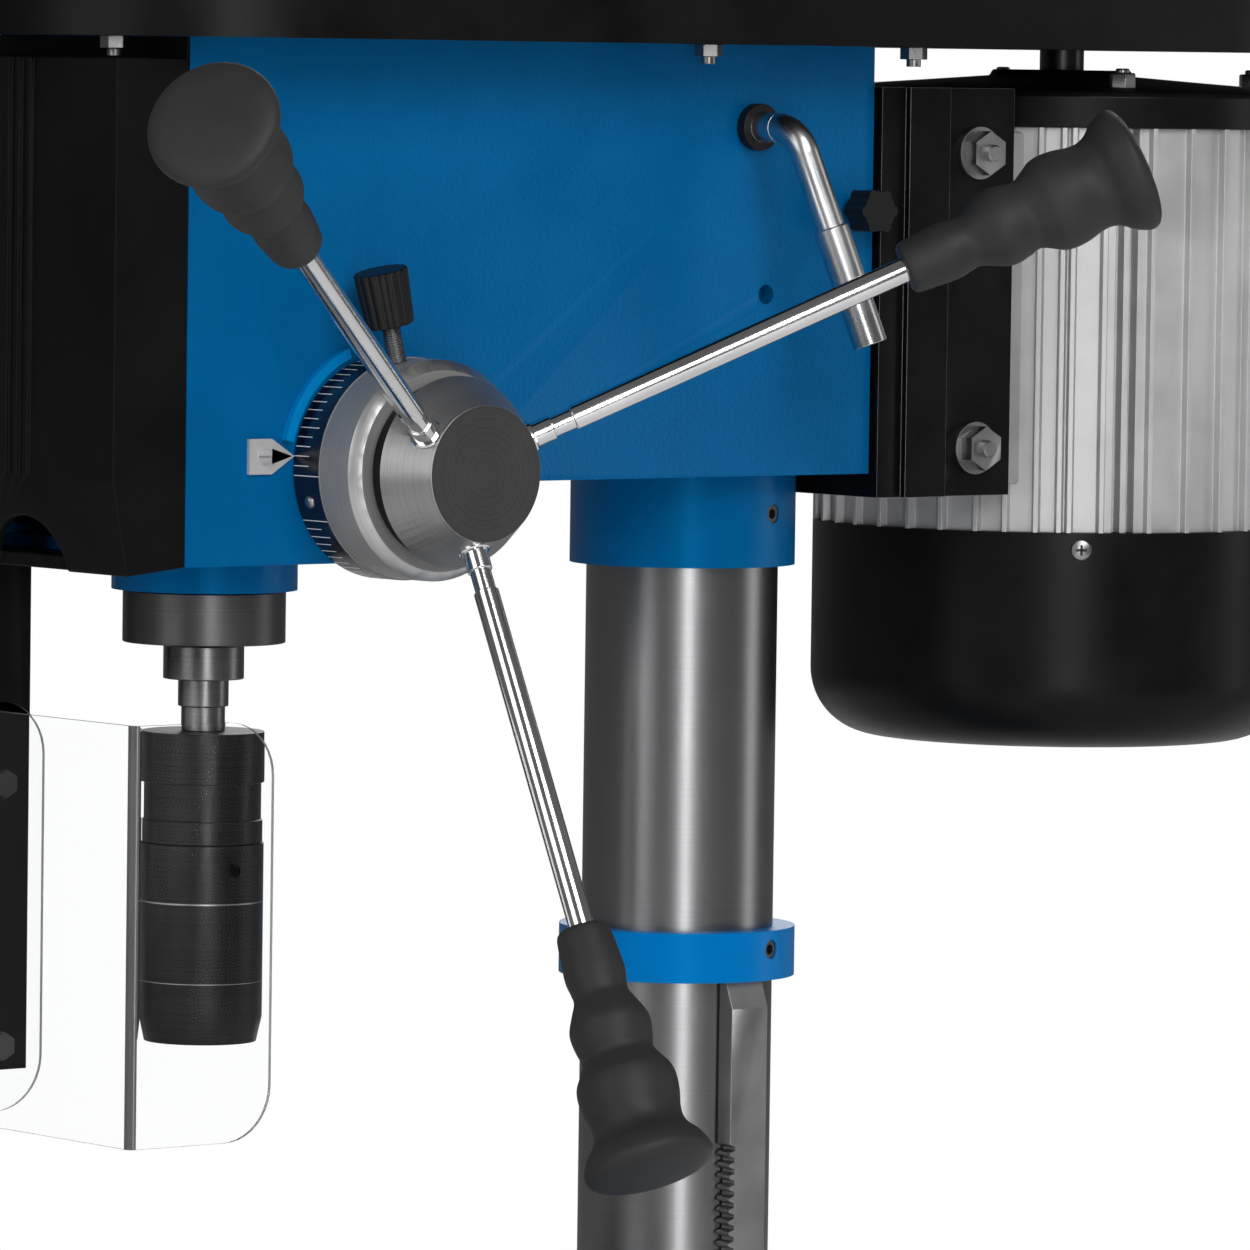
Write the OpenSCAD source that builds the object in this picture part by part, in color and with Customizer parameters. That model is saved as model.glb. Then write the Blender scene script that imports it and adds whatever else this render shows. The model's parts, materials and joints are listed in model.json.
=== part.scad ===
// Bench drilling machine with hand feed, built as separate pieces.
// Z is up from the bench, the column stands on the origin.
// The spindle is towards -Y, the motor towards +Y, the feed handles on +X.

/* [Machine] */
// Height of the head's lower rim above the bench
head_z = 700; // [660:5:820]
// Distance from column axis to spindle axis
throat = 246; // [240:1:270]
// Distance from column axis to motor shaft
motor_reach = 206; // [196:1:230]
// Height of the table's top above the bench at rest
table_z = 370; // [345:5:400]

/* [Base] */
// Width of the base
base_w = 300; // [270:5:360]
// Length of the base, front to back
base_l = 470; // [440:5:520]
// How far the base reaches behind the column
base_rear = 125; // [110:5:150]
// Thickness of the base
base_h = 36; // [30:1:44]
// Corner radius of the base
base_r = 28; // [15:1:40]
// Thickness of the base's walls
base_wall = 12; // [8:1:16]
// Thickness of the base's top
base_top = 14; // [10:1:18]
// Diameter of the four bolt-down holes
foot_hole_d = 12; // [9:0.5:14]
// Distance of the bolt-down holes from the edges
foot_inset = 26; // [22:1:34]
// Width of the slots in the base
base_slot_w = 14; // [10:1:18]
// Length of the slots in the base
base_slot_l = 150; // [100:5:170]

/* [Column] */
// Outer diameter of the column
col_d = 80; // [76:1:82]
// Wall of the column tube
col_wall = 6; // [4:0.5:8]
// Diameter of the column's foot flange
flange_d = 176; // [165:1:190]
// Thickness of the foot flange
flange_t = 16; // [12:1:20]
// Height of the column's foot
foot_h = 60; // [52:1:62]
// Diameter of the rack collar
collar_d = 98.5; // [97:0.5:104]
// Height of the rack collar
collar_h = 20.6; // [16:0.2:26]
// Distance from the head's lower rim to the collar's top
collar_drop = 151; // [140:1:165]

/* [Table] */
// Width of the table
table_w = 290; // [260:5:320]
// Depth of the table
table_l = 260; // [240:5:264]
// Thickness of the table's plate
table_t = 18; // [14:1:24]
// Width of the table's slots
table_slot_w = 14; // [10:1:18]
// Length of the table's slots
table_slot_l = 90; // [60:5:100]
// Diameter of the hole in the table's middle
table_hole_d = 40; // [25:1:50]
// Outer diameter of the table bracket's sleeve
sleeve_d = 122; // [118:1:130]
// Height of the table bracket's sleeve
sleeve_h = 90; // [80:1:96]
// Length of the lift crank's arm
crank_arm_l = 75; // [60:1:78]
// Length of the lift crank's grip
crank_grip_l = 72; // [50:1:90]

/* [Head] */
// Width of the head
head_w = 130; // [126:1:140]
// Height of the head's top above its lower rim
head_h = 215.5; // [212:0.5:225]
// How far the head reaches in front of the spindle
head_nose = 57; // [52:1:64]
// How far the head reaches behind the column axis
head_rear = 46; // [44:0.5:50]
// Wall of the head
head_wall = 8; // [6:0.5:10]
// Depth of the black front cover
cover_d = 35; // [28:1:42]
// Diameter of the head's lower socket
socket_d = 94; // [92:0.5:98]

/* [Feed] */
// Height of the feed shaft above the head's lower rim
feed_h = 46; // [44:0.5:48]
// Outer diameter of the depth ring
ring_d = 87.6; // [84:0.2:90]
// Diameter of the scale drum
dial_d = 88.6; // [84:0.2:90]
// Diameter of the hub's end face
hub_face_d = 53.9; // [46:0.1:58]
// Diameter of the feed rods
rod_d = 10; // [8:0.5:11]
// Angle at which the feed rods lean outwards
rod_lean = 28.4; // [20:0.1:35]
// Angle of the first feed rod above the level
rod_turn = 28.1; // [0:0.1:119]
// Distance along the rod from the hub's axis to the grip
rod_l = 197; // [150:1:210]
// Length of a feed grip
grip_l = 103.6; // [80:0.1:120]
// Largest diameter of a feed grip
grip_d = 51; // [40:1:56]

/* [Spindle] */
// Outer diameter of the quill
quill_d = 60; // [58:0.5:62]
// Travel of the quill
quill_travel = 85; // [60:1:86]
// Diameter of the collar at the quill's lower end
quill_collar_d = 65.4; // [64:0.2:70]
// Diameter of the spindle's nose
nose_d = 32.5; // [30:0.5:36]
// Diameter of the chuck
chuck_d = 49.4; // [47:0.2:52]
// Height of the chuck
chuck_h = 124.5; // [115:0.5:130]

/* [Motor] */
// Outer diameter of the motor
motor_d = 208; // [190:1:214]
// Height of the motor's finned housing
housing_h = 170; // [150:1:176]
// Height of the motor's lower bell
bell_h = 92; // [70:1:100]
// Diameter of the motor's shaft
shaft_d = 19; // [16:0.5:22]

/* [Belt drive] */
// Half width of the belt cover, its end radius
tray_r = 110; // [106:1:120]
// Height of the belt cover's tray
tray_h = 52; // [50:1:60]
// Height of the belt cover's lid
lid_h = 40; // [38:1:50]
// Thickness of the belt cover's sheet
tray_t = 3; // [2:0.25:4]
// Height of one pulley step
step_h = 11; // [10:0.25:12]
// Distance from the column axis forward to the idler
idler_y = 30; // [24:1:36]

/* [Guard] */
// Width of the chuck guard
guard_w = 140; // [138:1:150]
// Depth of the chuck guard
guard_l = 68; // [60:1:74]
// Height of the chuck guard
guard_h = 166; // [140:1:175]
// Thickness of the clear sheet
guard_t = 2; // [1.5:0.25:3]

/* [Switch] */
// Height of the switch box
switch_h = 86; // [76:1:96]
// Width of the switch box
switch_w = 66; // [60:1:76]
// Depth of the switch box
switch_d = 34; // [28:1:42]
// Travel of the push buttons
button_travel = 3; // [2:0.5:4]

/* [Hidden] */
$fn = 64;

// Clearances: turning or sliding fit, free space, overrun of a cut
run_gap = 0.05;
free_gap = 0.4;
over = 1.5;

// Main places
sy = -throat;
col_r = col_d / 2;
head_x = head_w / 2;
head_y0 = sy - head_nose;
head_top = head_z + head_h;
base_front = base_l - base_rear;
base_mid = (base_rear - base_front) / 2;

module xcyl(r, l) { rotate([0, 90, 0]) cylinder(r = r, h = l); }
module ycyl(r, l) { rotate([-90, 0, 0]) cylinder(r = r, h = l); }
module yz(h) { rotate([90, 0, 90]) linear_extrude(height = h) children(); }
module xz(h) { rotate([90, 0, 0]) linear_extrude(height = h) children(); }
module spin_x() { rotate([0, 90, 0]) rotate_extrude() children(); }
module ring(ro, ri, h) {
  difference() {
    cylinder(r = ro, h = h);
    translate([0, 0, -over]) cylinder(r = ri, h = h + 2 * over);
  }
}
module rrect(w, l, r) {
  square([w - 2 * r, l], center = true);
  square([w, l - 2 * r], center = true);
  for (i = [-1, 1], j = [-1, 1])
    translate([i * (w / 2 - r), j * (l / 2 - r)]) circle(r = r);
}
module slot2d(w, l) {
  square([w, l - w], center = true);
  for (j = [-1, 1]) translate([0, j * (l - w) / 2]) circle(r = w / 2);
}
module hex(af, h) { cylinder(r = af / sqrt(3), h = h, $fn = 6); }

// Gear wheel outline with involute flanks; rack outline to match
press = 20;
function inv(a) = tan(a) * 180 / PI - a;
function tooth_half(m, z, slack, r) =
  (PI * m / 2 - slack) / (m * z) * 180 / PI + inv(press)
  - inv(acos(min(1, m * z / 2 * cos(press) / r)));
function pol(r, a) = [r * cos(a), r * sin(a)];
function gear_pts(m, z, add, ded, slack, n = 4) =
  let (rb = m * z / 2 * cos(press), ra = m * z / 2 + add, rf = m * z / 2 - ded)
  [for (i = [0 : z - 1])
    let (c = 360 * i / z, hb = tooth_half(m, z, slack, rb))
    each concat(
      [pol(rf, c - hb)],
      [for (k = [0 : n]) let (r = rb + (ra - rb) * k / n)
        pol(r, c - tooth_half(m, z, slack, r))],
      [for (k = [n : -1 : 0]) let (r = rb + (ra - rb) * k / n)
        pol(r, c + tooth_half(m, z, slack, r))],
      [pol(rf, c + hb)])];
// Rack teeth point to +x of the outline, gaps at whole pitches from y = 0
function rack_pts(m, add, ded, slack, k0, k1) =
  let (p = PI * m, ht = (p / 2 - slack) / 2 - add * tan(press),
       hr = (p / 2 - slack) / 2 + ded * tan(press))
  [for (k = [k0 : k1]) let (c = (k + 1 / 2) * p)
    each [[-ded, c - hr], [add, c - ht], [add, c + ht], [-ded, c + hr]]];

// Base and column
pad_h = 6;
pad_d = flange_d + pad_h;
bolt_d = 10;
bolt_head_h = 6.5;
bolt_head_af = 16;
flange_bolt_r = flange_d / 2 - bolt_head_af * 0.85;
foot_top = base_h + pad_h + flange_t + foot_h;
rack_w = 19;
rack_t = 8.5;
rack_gap = 0.4;
rack_x0 = col_r + rack_gap;
rack_x1 = rack_x0 + rack_t;
rack_corner = sqrt(rack_x1 * rack_x1 + rack_w * rack_w / 4);
foot_lip_r = rack_corner + rack_gap;
foot_lip_t = 5;
foot_groove = 8;
collar_z1 = head_z - collar_drop;
collar_z0 = collar_z1 - collar_h;
collar_groove = 7;
rack_tongue_t = rack_t / 2;
tongue_corner = sqrt(pow(rack_x0 + rack_tongue_t, 2) + rack_w * rack_w / 4);
rack_bevel_h = 11;
work_w = 210;
work_l = 200;
work_h = 3;
work_y = -base_front + work_l / 2 + 2 * base_wall;
base_slot_x = 62;
rib_t = 8;

module base() color([0.05, 0.35, 0.62]) difference() {
  union() {
    translate([0, base_mid, 0]) linear_extrude(height = base_h) rrect(base_w, base_l, base_r);
    cylinder(r = pad_d / 2, h = base_h + pad_h);
    translate([0, work_y, 0]) linear_extrude(height = base_h + work_h)
      square([work_w, work_l], center = true);
  }
  difference() {
    translate([0, base_mid, -over]) linear_extrude(height = base_h - base_top + over)
      rrect(base_w - 2 * base_wall, base_l - 2 * base_wall, base_r - base_wall);
    translate([0, 0, -over]) cylinder(r = pad_d / 2, h = base_h + over);
    for (i = [-1, 1]) {
      translate([i * base_slot_x, base_mid, 0])
        cube([2 * base_wall + base_slot_w, base_l, base_h * 2], center = true);
      for (j = [-1, 1])
        translate([i * (base_w / 2 - foot_inset), base_mid + j * (base_l / 2 - foot_inset), -over])
          cylinder(r = foot_hole_d, h = base_h + over);
    }
    translate([0, work_y, 0]) cube([base_w, rib_t, base_h * 2], center = true);
  }
  for (i = [-1, 1]) {
    translate([i * base_slot_x, work_y, -over]) linear_extrude(height = base_h + work_h + 2 * over)
      slot2d(base_slot_w, base_slot_l);
    for (j = [-1, 1])
      translate([i * (base_w / 2 - foot_inset), base_mid + j * (base_l / 2 - foot_inset), -over])
        cylinder(r = foot_hole_d / 2, h = base_h + 2 * over);
  }
  translate([0, 0, base_h + pad_h - bolt_d]) cylinder(r = col_r, h = bolt_d + over);
  for (a = [45 : 90 : 359]) rotate([0, 0, a]) translate([flange_bolt_r, 0, base_h / 2])
    cylinder(r = bolt_d / 2, h = base_h);
}

module column_foot() color([0.05, 0.35, 0.62]) translate([0, 0, base_h + pad_h]) difference() {
  union() {
    cylinder(r = flange_d / 2, h = flange_t);
    cylinder(r = foot_lip_r + foot_lip_t, h = flange_t + foot_h);
    translate([0, 0, flange_t])
      cylinder(r1 = foot_lip_r + 2 * foot_lip_t, r2 = foot_lip_r + foot_lip_t, h = foot_h / 3);
  }
  translate([0, 0, -over]) cylinder(r = col_r, h = flange_t + foot_h + 2 * over);
  translate([0, 0, flange_t + foot_h - foot_groove]) cylinder(r = foot_lip_r, h = foot_groove + over);
  for (a = [45 : 90 : 359]) rotate([0, 0, a]) translate([flange_bolt_r, 0, -over])
    cylinder(r = bolt_d / 2, h = flange_t + 2 * over);
  foot_screw_cut();
}
foot_screw_z = flange_t + foot_h / 2;
screw_d = 8;
screw_l = foot_lip_r + foot_lip_t - col_r - 1 / 2 * foot_lip_t;
module foot_screw_cut() {
  translate([0, 0, foot_screw_z]) rotate([0, 0, 200]) translate([col_r - over, 0, 0])
    xcyl(screw_d / 2, col_r);
}

column_z0 = base_h + pad_h - bolt_d;
module column() color([0.62, 0.62, 0.63]) translate([0, 0, column_z0])
  ring(col_r, col_r - col_wall, head_z + column_top_h - column_z0);

// Bolts of the column's foot and of the belt cover's tray
tray_bolt_d = 6;
tray_bolt_x = 85;
tray_bolt_shares = [-0.286, 0.243, 1.26];
front_bolt_x = 45;
front_bolt_out = 22;
tray_bolts = concat([[front_bolt_x, head_y0 - front_bolt_out]],
  [for (s = tray_bolt_shares) [tray_bolt_x, s * motor_reach]]);
nut_h = 5;
nut_share = 1.67;
module hex_bolts() color([0.7, 0.7, 0.7]) {
  for (a = [45 : 90 : 359]) rotate([0, 0, a]) translate([flange_bolt_r, 0, 0]) {
    translate([0, 0, base_h / 2]) cylinder(r = bolt_d / 2, h = base_h / 2 + pad_h + flange_t);
    translate([0, 0, base_h + pad_h + flange_t]) hex(bolt_head_af, bolt_head_h);
  }
  for (p = tray_bolts) translate([p[0], p[1], head_top - nut_h]) {
    cylinder(r = tray_bolt_d / 2, h = nut_h + tray_t);
    hex(nut_share * tray_bolt_d, nut_h);
    translate([0, 0, nut_h + tray_t]) hex(nut_share * tray_bolt_d, nut_h);
    translate([0, 0, -tray_bolt_d / 2]) cylinder(r = tray_bolt_d / 2, h = tray_bolt_d / 2);
  }
}

module rack_collar() color([0.0, 0.45, 0.75]) translate([0, 0, collar_z0]) difference() {
  cylinder(r = collar_d / 2, h = collar_h);
  translate([0, 0, -over]) cylinder(r = col_r, h = collar_h + 2 * over);
  translate([0, 0, -over]) cylinder(r = tongue_corner + rack_gap, h = collar_groove + over);
  rotate([0, 0, collar_screw_a]) translate([col_r - over, 0, collar_h / 2 + collar_screw_up])
    xcyl(screw_d / 2, collar_d / 2);
}
collar_screw_a = 14;
collar_screw_up = 2.5;
collar_screw_l = (collar_d / 2 - col_r) * 0.9;
socket_screw_a = 14;
socket_screw_up = 22;

module socket_screw(l) {
  difference() {
    xcyl(screw_d / 2, l);
    translate([l - screw_d / 2, 0, 0]) rotate([0, 90, 0]) hex(screw_d / 2, screw_d);
  }
}
module set_screws() color([0.12, 0.12, 0.12]) {
  translate([0, 0, collar_z0 + collar_h / 2 + collar_screw_up]) rotate([0, 0, collar_screw_a])
    translate([col_r, 0, 0]) socket_screw(collar_screw_l);
  translate([0, 0, head_z + socket_screw_up]) rotate([0, 0, socket_screw_a])
    translate([col_r, 0, 0]) socket_screw((socket_d / 2 - col_r) * 0.9);
  translate([0, 0, base_h + pad_h + foot_screw_z]) rotate([0, 0, 200])
    translate([col_r, 0, 0]) socket_screw(screw_l);
}

// Toothed rack beside the column
rack_m = 1.5;
rack_add = rack_m * 0.8;
rack_ded = rack_m * 1.05;
rack_slack = 0.16;
sleeve_top_drop = 22;
crank_z = table_z - table_t - sleeve_top_drop - sleeve_h / 2;
rack_foot_z = foot_top - foot_groove;
rack_p = PI * rack_m;
rack_k0 = -floor((crank_z - foot_top - 2 * rack_p) / rack_p);
rack_clear_top = 62;
rack_k1 = floor((collar_z0 - rack_clear_top - crank_z) / rack_p) - 1;
module rack() color([0.55, 0.55, 0.56]) difference() {
  union() {
    translate([rack_x0, -rack_w / 2, rack_foot_z])
      cube([rack_t, rack_w, collar_z0 - rack_bevel_h - rack_foot_z]);
    translate([0, rack_w / 2, 0]) xz(rack_w) polygon([
      [rack_x0, collar_z0 - rack_bevel_h], [rack_x1, collar_z0 - rack_bevel_h],
      [rack_x0 + rack_tongue_t, collar_z0], [rack_x0 + rack_tongue_t, collar_z0 + collar_groove - rack_gap],
      [rack_x0, collar_z0 + collar_groove - rack_gap]]);
  }
  // Tooth gaps on the face towards -Y
  translate([rack_x0 - over, -rack_w / 2 + rack_add, crank_z]) mirror([0, 1, 0]) yz(rack_t + 2 * over)
    rack_gaps();
}
module rack_gaps() {
  hr = (rack_p / 2 + rack_slack) / 2 - rack_ded * tan(press);
  ha = (rack_p / 2 + rack_slack) / 2 + rack_add * tan(press);
  ho = (rack_p / 2 + rack_slack) / 2 + (rack_add + over) * tan(press);
  for (k = [rack_k0 : rack_k1]) translate([0, k * rack_p])
    polygon([[-rack_ded, -hr], [rack_add + over, -ho], [rack_add + over, ho], [-rack_ded, hr]]);
}

// Table and its bracket
pinion_z = 14;
pinion_r = rack_m * pinion_z / 2;
crank_y = -(rack_w / 2 - rack_add) - pinion_r;
sleeve_r = sleeve_d / 2;
crank_shaft_r = 6;
crank_boss_r = 15;
crank_boss_x = 74;
pinion_x0 = rack_x0;
pinion_l = rack_t;
arm_y = -84;
pivot_d = 84;
pivot_drop = 26;
pivot_z = table_z - table_t - sleeve_top_drop - pivot_drop;
arm_w = 70;
tilt_bolt_d = 20;
lug_t = 16;
lug_out = 30;
lug_y1 = sleeve_r + lug_out;
lug_h = 50;
lug_slot = 4;
clamp_d = 14;
clamp_out = 13;
clamp_y = sleeve_r + clamp_out;
sleeve_z0 = crank_z - sleeve_h / 2;
pinion_tip = pinion_r + rack_add;

module table_bracket() color([0.05, 0.35, 0.62]) difference() {
  union() {
    translate([0, 0, sleeve_z0]) cylinder(r = sleeve_r, h = sleeve_h);
    translate([-arm_w / 2, arm_y, sleeve_z0]) cube([arm_w, -arm_y, sleeve_h]);
    translate([0, arm_y, pivot_z]) ycyl(pivot_d / 2, lug_t);
    translate([0, crank_y, crank_z]) xcyl(crank_boss_r, crank_boss_x);
    translate([-lug_t - lug_slot / 2, 0, crank_z - lug_h / 2]) cube([2 * lug_t + lug_slot, lug_y1, lug_h]);
  }
  translate([0, 0, sleeve_z0 - over]) cylinder(r = col_r + run_gap, h = sleeve_h + 2 * over);
  // Channel for the rack and room for the lift pinion
  translate([0, -rack_w / 2 - free_gap, sleeve_z0 - over])
    cube([rack_x1 + free_gap, rack_w + 2 * free_gap, sleeve_h + 2 * over]);
  translate([col_r * 0.8, crank_y, crank_z])
    xcyl(pinion_tip + free_gap, pinion_x0 + pinion_l + free_gap - col_r * 0.8);
  translate([0, crank_y, crank_z]) xcyl(crank_shaft_r + run_gap, crank_boss_x + over);
  translate([-lug_slot / 2, 0, sleeve_z0 - over]) cube([lug_slot, lug_y1 + over, sleeve_h + 2 * over]);
  translate([-2 * lug_t, clamp_y, crank_z]) xcyl(clamp_d / 2 + run_gap, 4 * lug_t);
  translate([0, arm_y - over, pivot_z]) ycyl(tilt_bolt_d / 2, sleeve_r + tilt_bolt_d);
}

module crank_shaft() color([0.6, 0.6, 0.6]) {
  translate([pinion_x0, crank_y, crank_z]) yz(pinion_l)
    polygon(gear_pts(rack_m, pinion_z, rack_add, rack_ded, rack_slack));
  translate([pinion_x0 + pinion_l, crank_y, crank_z])
    xcyl(crank_shaft_r, crank_boss_x + free_gap + crank_hub_t - pinion_x0 - pinion_l);
}
crank_hub_t = 16;
crank_hub_r = 13;
crank_x0 = crank_boss_x + free_gap;
crank_t = 8;
crank_pin_r = 4;
crank_grip_r = 11;
module crank_arm() color([0.1, 0.1, 0.1]) translate([crank_x0, crank_y, crank_z]) difference() {
  union() {
    xcyl(crank_hub_r, crank_hub_t);
    translate([crank_hub_t - crank_t, -crank_hub_r * 0.7, -crank_arm_l])
      cube([crank_t, crank_hub_r * 1.4, crank_arm_l]);
    translate([crank_hub_t - crank_t, 0, -crank_arm_l]) xcyl(crank_hub_r * 0.7, crank_t);
    translate([crank_hub_t, 0, -crank_arm_l]) xcyl(crank_pin_r, crank_grip_l + 2 * free_gap);
    translate([crank_hub_t + crank_grip_l + 2 * free_gap, 0, -crank_arm_l])
      xcyl(1.6 * crank_pin_r, crank_pin_r / 2);
  }
  translate([-over, 0, 0]) xcyl(crank_shaft_r, crank_hub_t + 2 * over);
}
module crank_grip() color([0.08, 0.08, 0.08])
  translate([crank_x0 + crank_hub_t + free_gap, crank_y, crank_z - crank_arm_l]) difference() {
    spin_x() polygon([for (p = crank_grip_shares) [p[1] * crank_grip_r, p[0] * crank_grip_l]]);
    translate([-over, 0, 0]) xcyl(crank_pin_r + run_gap, crank_grip_l + 2 * over);
  }
crank_grip_shares = [[0, 0], [0, 0.72], [0.08, 0.86], [0.35, 1], [0.65, 0.96], [0.9, 0.8], [1, 0.6], [1, 0]];

lever_r = 5;
lever_l = 84;
lever_knob_r = 12;
clamp_head_r = 13;
clamp_head_t = 18;
clamp_x1 = lug_t + lug_slot / 2;
module table_lock_lever() color([0.3, 0.3, 0.3]) translate([0, clamp_y, crank_z]) {
  translate([-clamp_x1 - lug_t / 2, 0, 0]) xcyl(clamp_d / 2, 2 * clamp_x1 + lug_t / 2 + free_gap);
  translate([-clamp_x1 - lug_t / 2 - free_gap, 0, 0]) rotate([0, 90, 0]) hex(clamp_d * 1.6, lug_t / 2);
  translate([clamp_x1 + free_gap, 0, 0]) {
    xcyl(clamp_head_r, clamp_head_t);
    translate([clamp_head_t / 2, 0, 0]) rotate([-60, 0, 0]) rotate([0, 0, -12]) {
      ycyl(lever_r, lever_l);
      translate([0, lever_l, 0]) sphere(r = lever_knob_r);
    }
  }
}

neck_w = 60;
table_rib_h = 12;
table_edge = 16;
table_slot_x = 70;
table_slot_y = 65;
module table() color([0.5, 0.5, 0.5]) difference() {
  union() {
    translate([0, sy, table_z - table_t]) linear_extrude(height = table_t)
      rrect(table_w, table_l, table_edge);
    difference() {
      translate([0, sy, table_z - table_t - table_rib_h]) linear_extrude(height = table_rib_h + table_t / 2)
        rrect(table_w, table_l, table_edge);
      translate([0, sy, table_z - table_t - 2 * table_rib_h]) linear_extrude(height = 3 * table_rib_h)
        rrect(table_w - table_edge, table_l - table_edge, table_edge / 2);
    }
    // Neck down to the tilting face
    translate([0, arm_y - free_gap - lug_t, pivot_z]) ycyl(pivot_d / 2, lug_t);
    translate([-neck_w / 2, sy, pivot_z - pivot_d / 4])
      cube([neck_w, arm_y - free_gap - sy - lug_t / 2, table_z - table_t / 2 - pivot_z + pivot_d / 4]);
    translate([0, sy, pivot_z - pivot_d / 4])
      cylinder(r = table_hole_d / 2 + table_edge, h = table_z - table_t / 2 - pivot_z + pivot_d / 4);
  }
  translate([0, sy, pivot_z - pivot_d]) cylinder(r = table_hole_d / 2, h = table_z);
  translate([0, table_nut_y, pivot_z]) ycyl(tilt_bolt_d / 2 + run_gap, -table_nut_y);
  translate([0, table_nut_y, pivot_z - pivot_d])
    translate([-tilt_bolt_d, 0, 0]) cube([2 * tilt_bolt_d, 2 * tilt_bolt_d, pivot_d + tilt_bolt_d]);
  for (i = [-1, 1], j = [-1, 1])
    translate([i * table_slot_x, sy + j * table_slot_y, table_z - table_t - over])
      rotate([0, 0, 90]) linear_extrude(height = table_t + 2 * over)
        slot2d(table_slot_w, table_slot_l);
}
table_nut_y = arm_y - free_gap - lug_t - 3 * tilt_bolt_d;
module tilt_bolt() color([0.7, 0.7, 0.7]) {
  translate([0, table_nut_y + 1.2 * tilt_bolt_d, pivot_z])
    ycyl(tilt_bolt_d / 2, arm_y + lug_t - table_nut_y - 1.2 * tilt_bolt_d);
  translate([0, table_nut_y + 1.2 * tilt_bolt_d, pivot_z]) rotate([-90, 0, 0])
    hex(1.5 * tilt_bolt_d, 0.75 * tilt_bolt_d);
}

// Head
front_up = 8;
rear_up = 39;
step_back = 41;
step_run = 15;
step_y0 = sy + step_back;
step_y1 = step_y0 + step_run;
deck_t = 9;
boss_r = 37.3;
boss_drop = 5;
barrel_r = 40;
quill_r = quill_d / 2;
bearing_h = 14;
bearing_seat_r = 27;
bearing_space = 2;
quill_room = 9;
bearing_z = head_h - 2 * bearing_h - bearing_space;
quill_top = bearing_z - quill_room;
clamp_front = 58;
bar_x = 54;
bar_r = 6.5;
bar_down = 67.5;
bar_up = head_h - bar_down;
bar_l = 100;
feed_m = 2;
feed_teeth = 13;
feed_pr = feed_m * feed_teeth / 2;
feed_add = feed_m * 0.75;
feed_ded = feed_m;
feed_slack = 0.2;
quill_flat = 2.5;
quill_pitch = quill_r - quill_flat - feed_add;
feed_y = sy + quill_pitch + feed_pr;
feed_z = head_z + feed_h;
journal_up = 0.5;
feed_journal_r = feed_pr + feed_add + journal_up;
feed_tail_r = 9;
feed_half = 11;
feed_boss_r = 22;
head_boss_r = 44;
head_rim_r = 51;
head_rim_w = 4;
head_rim_a0 = 112;
head_rim_a1 = 167;
head_boss_t = 0.6;
head_rim_t = 3;
lever_y = -18;
lever_down = 33.5;
lever_up = head_h - lever_down;
lever_rod_r = 6;
// The column ends under the belt lever
column_space = 11;
column_top_h = lever_up - lever_rod_r - column_space;

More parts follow.
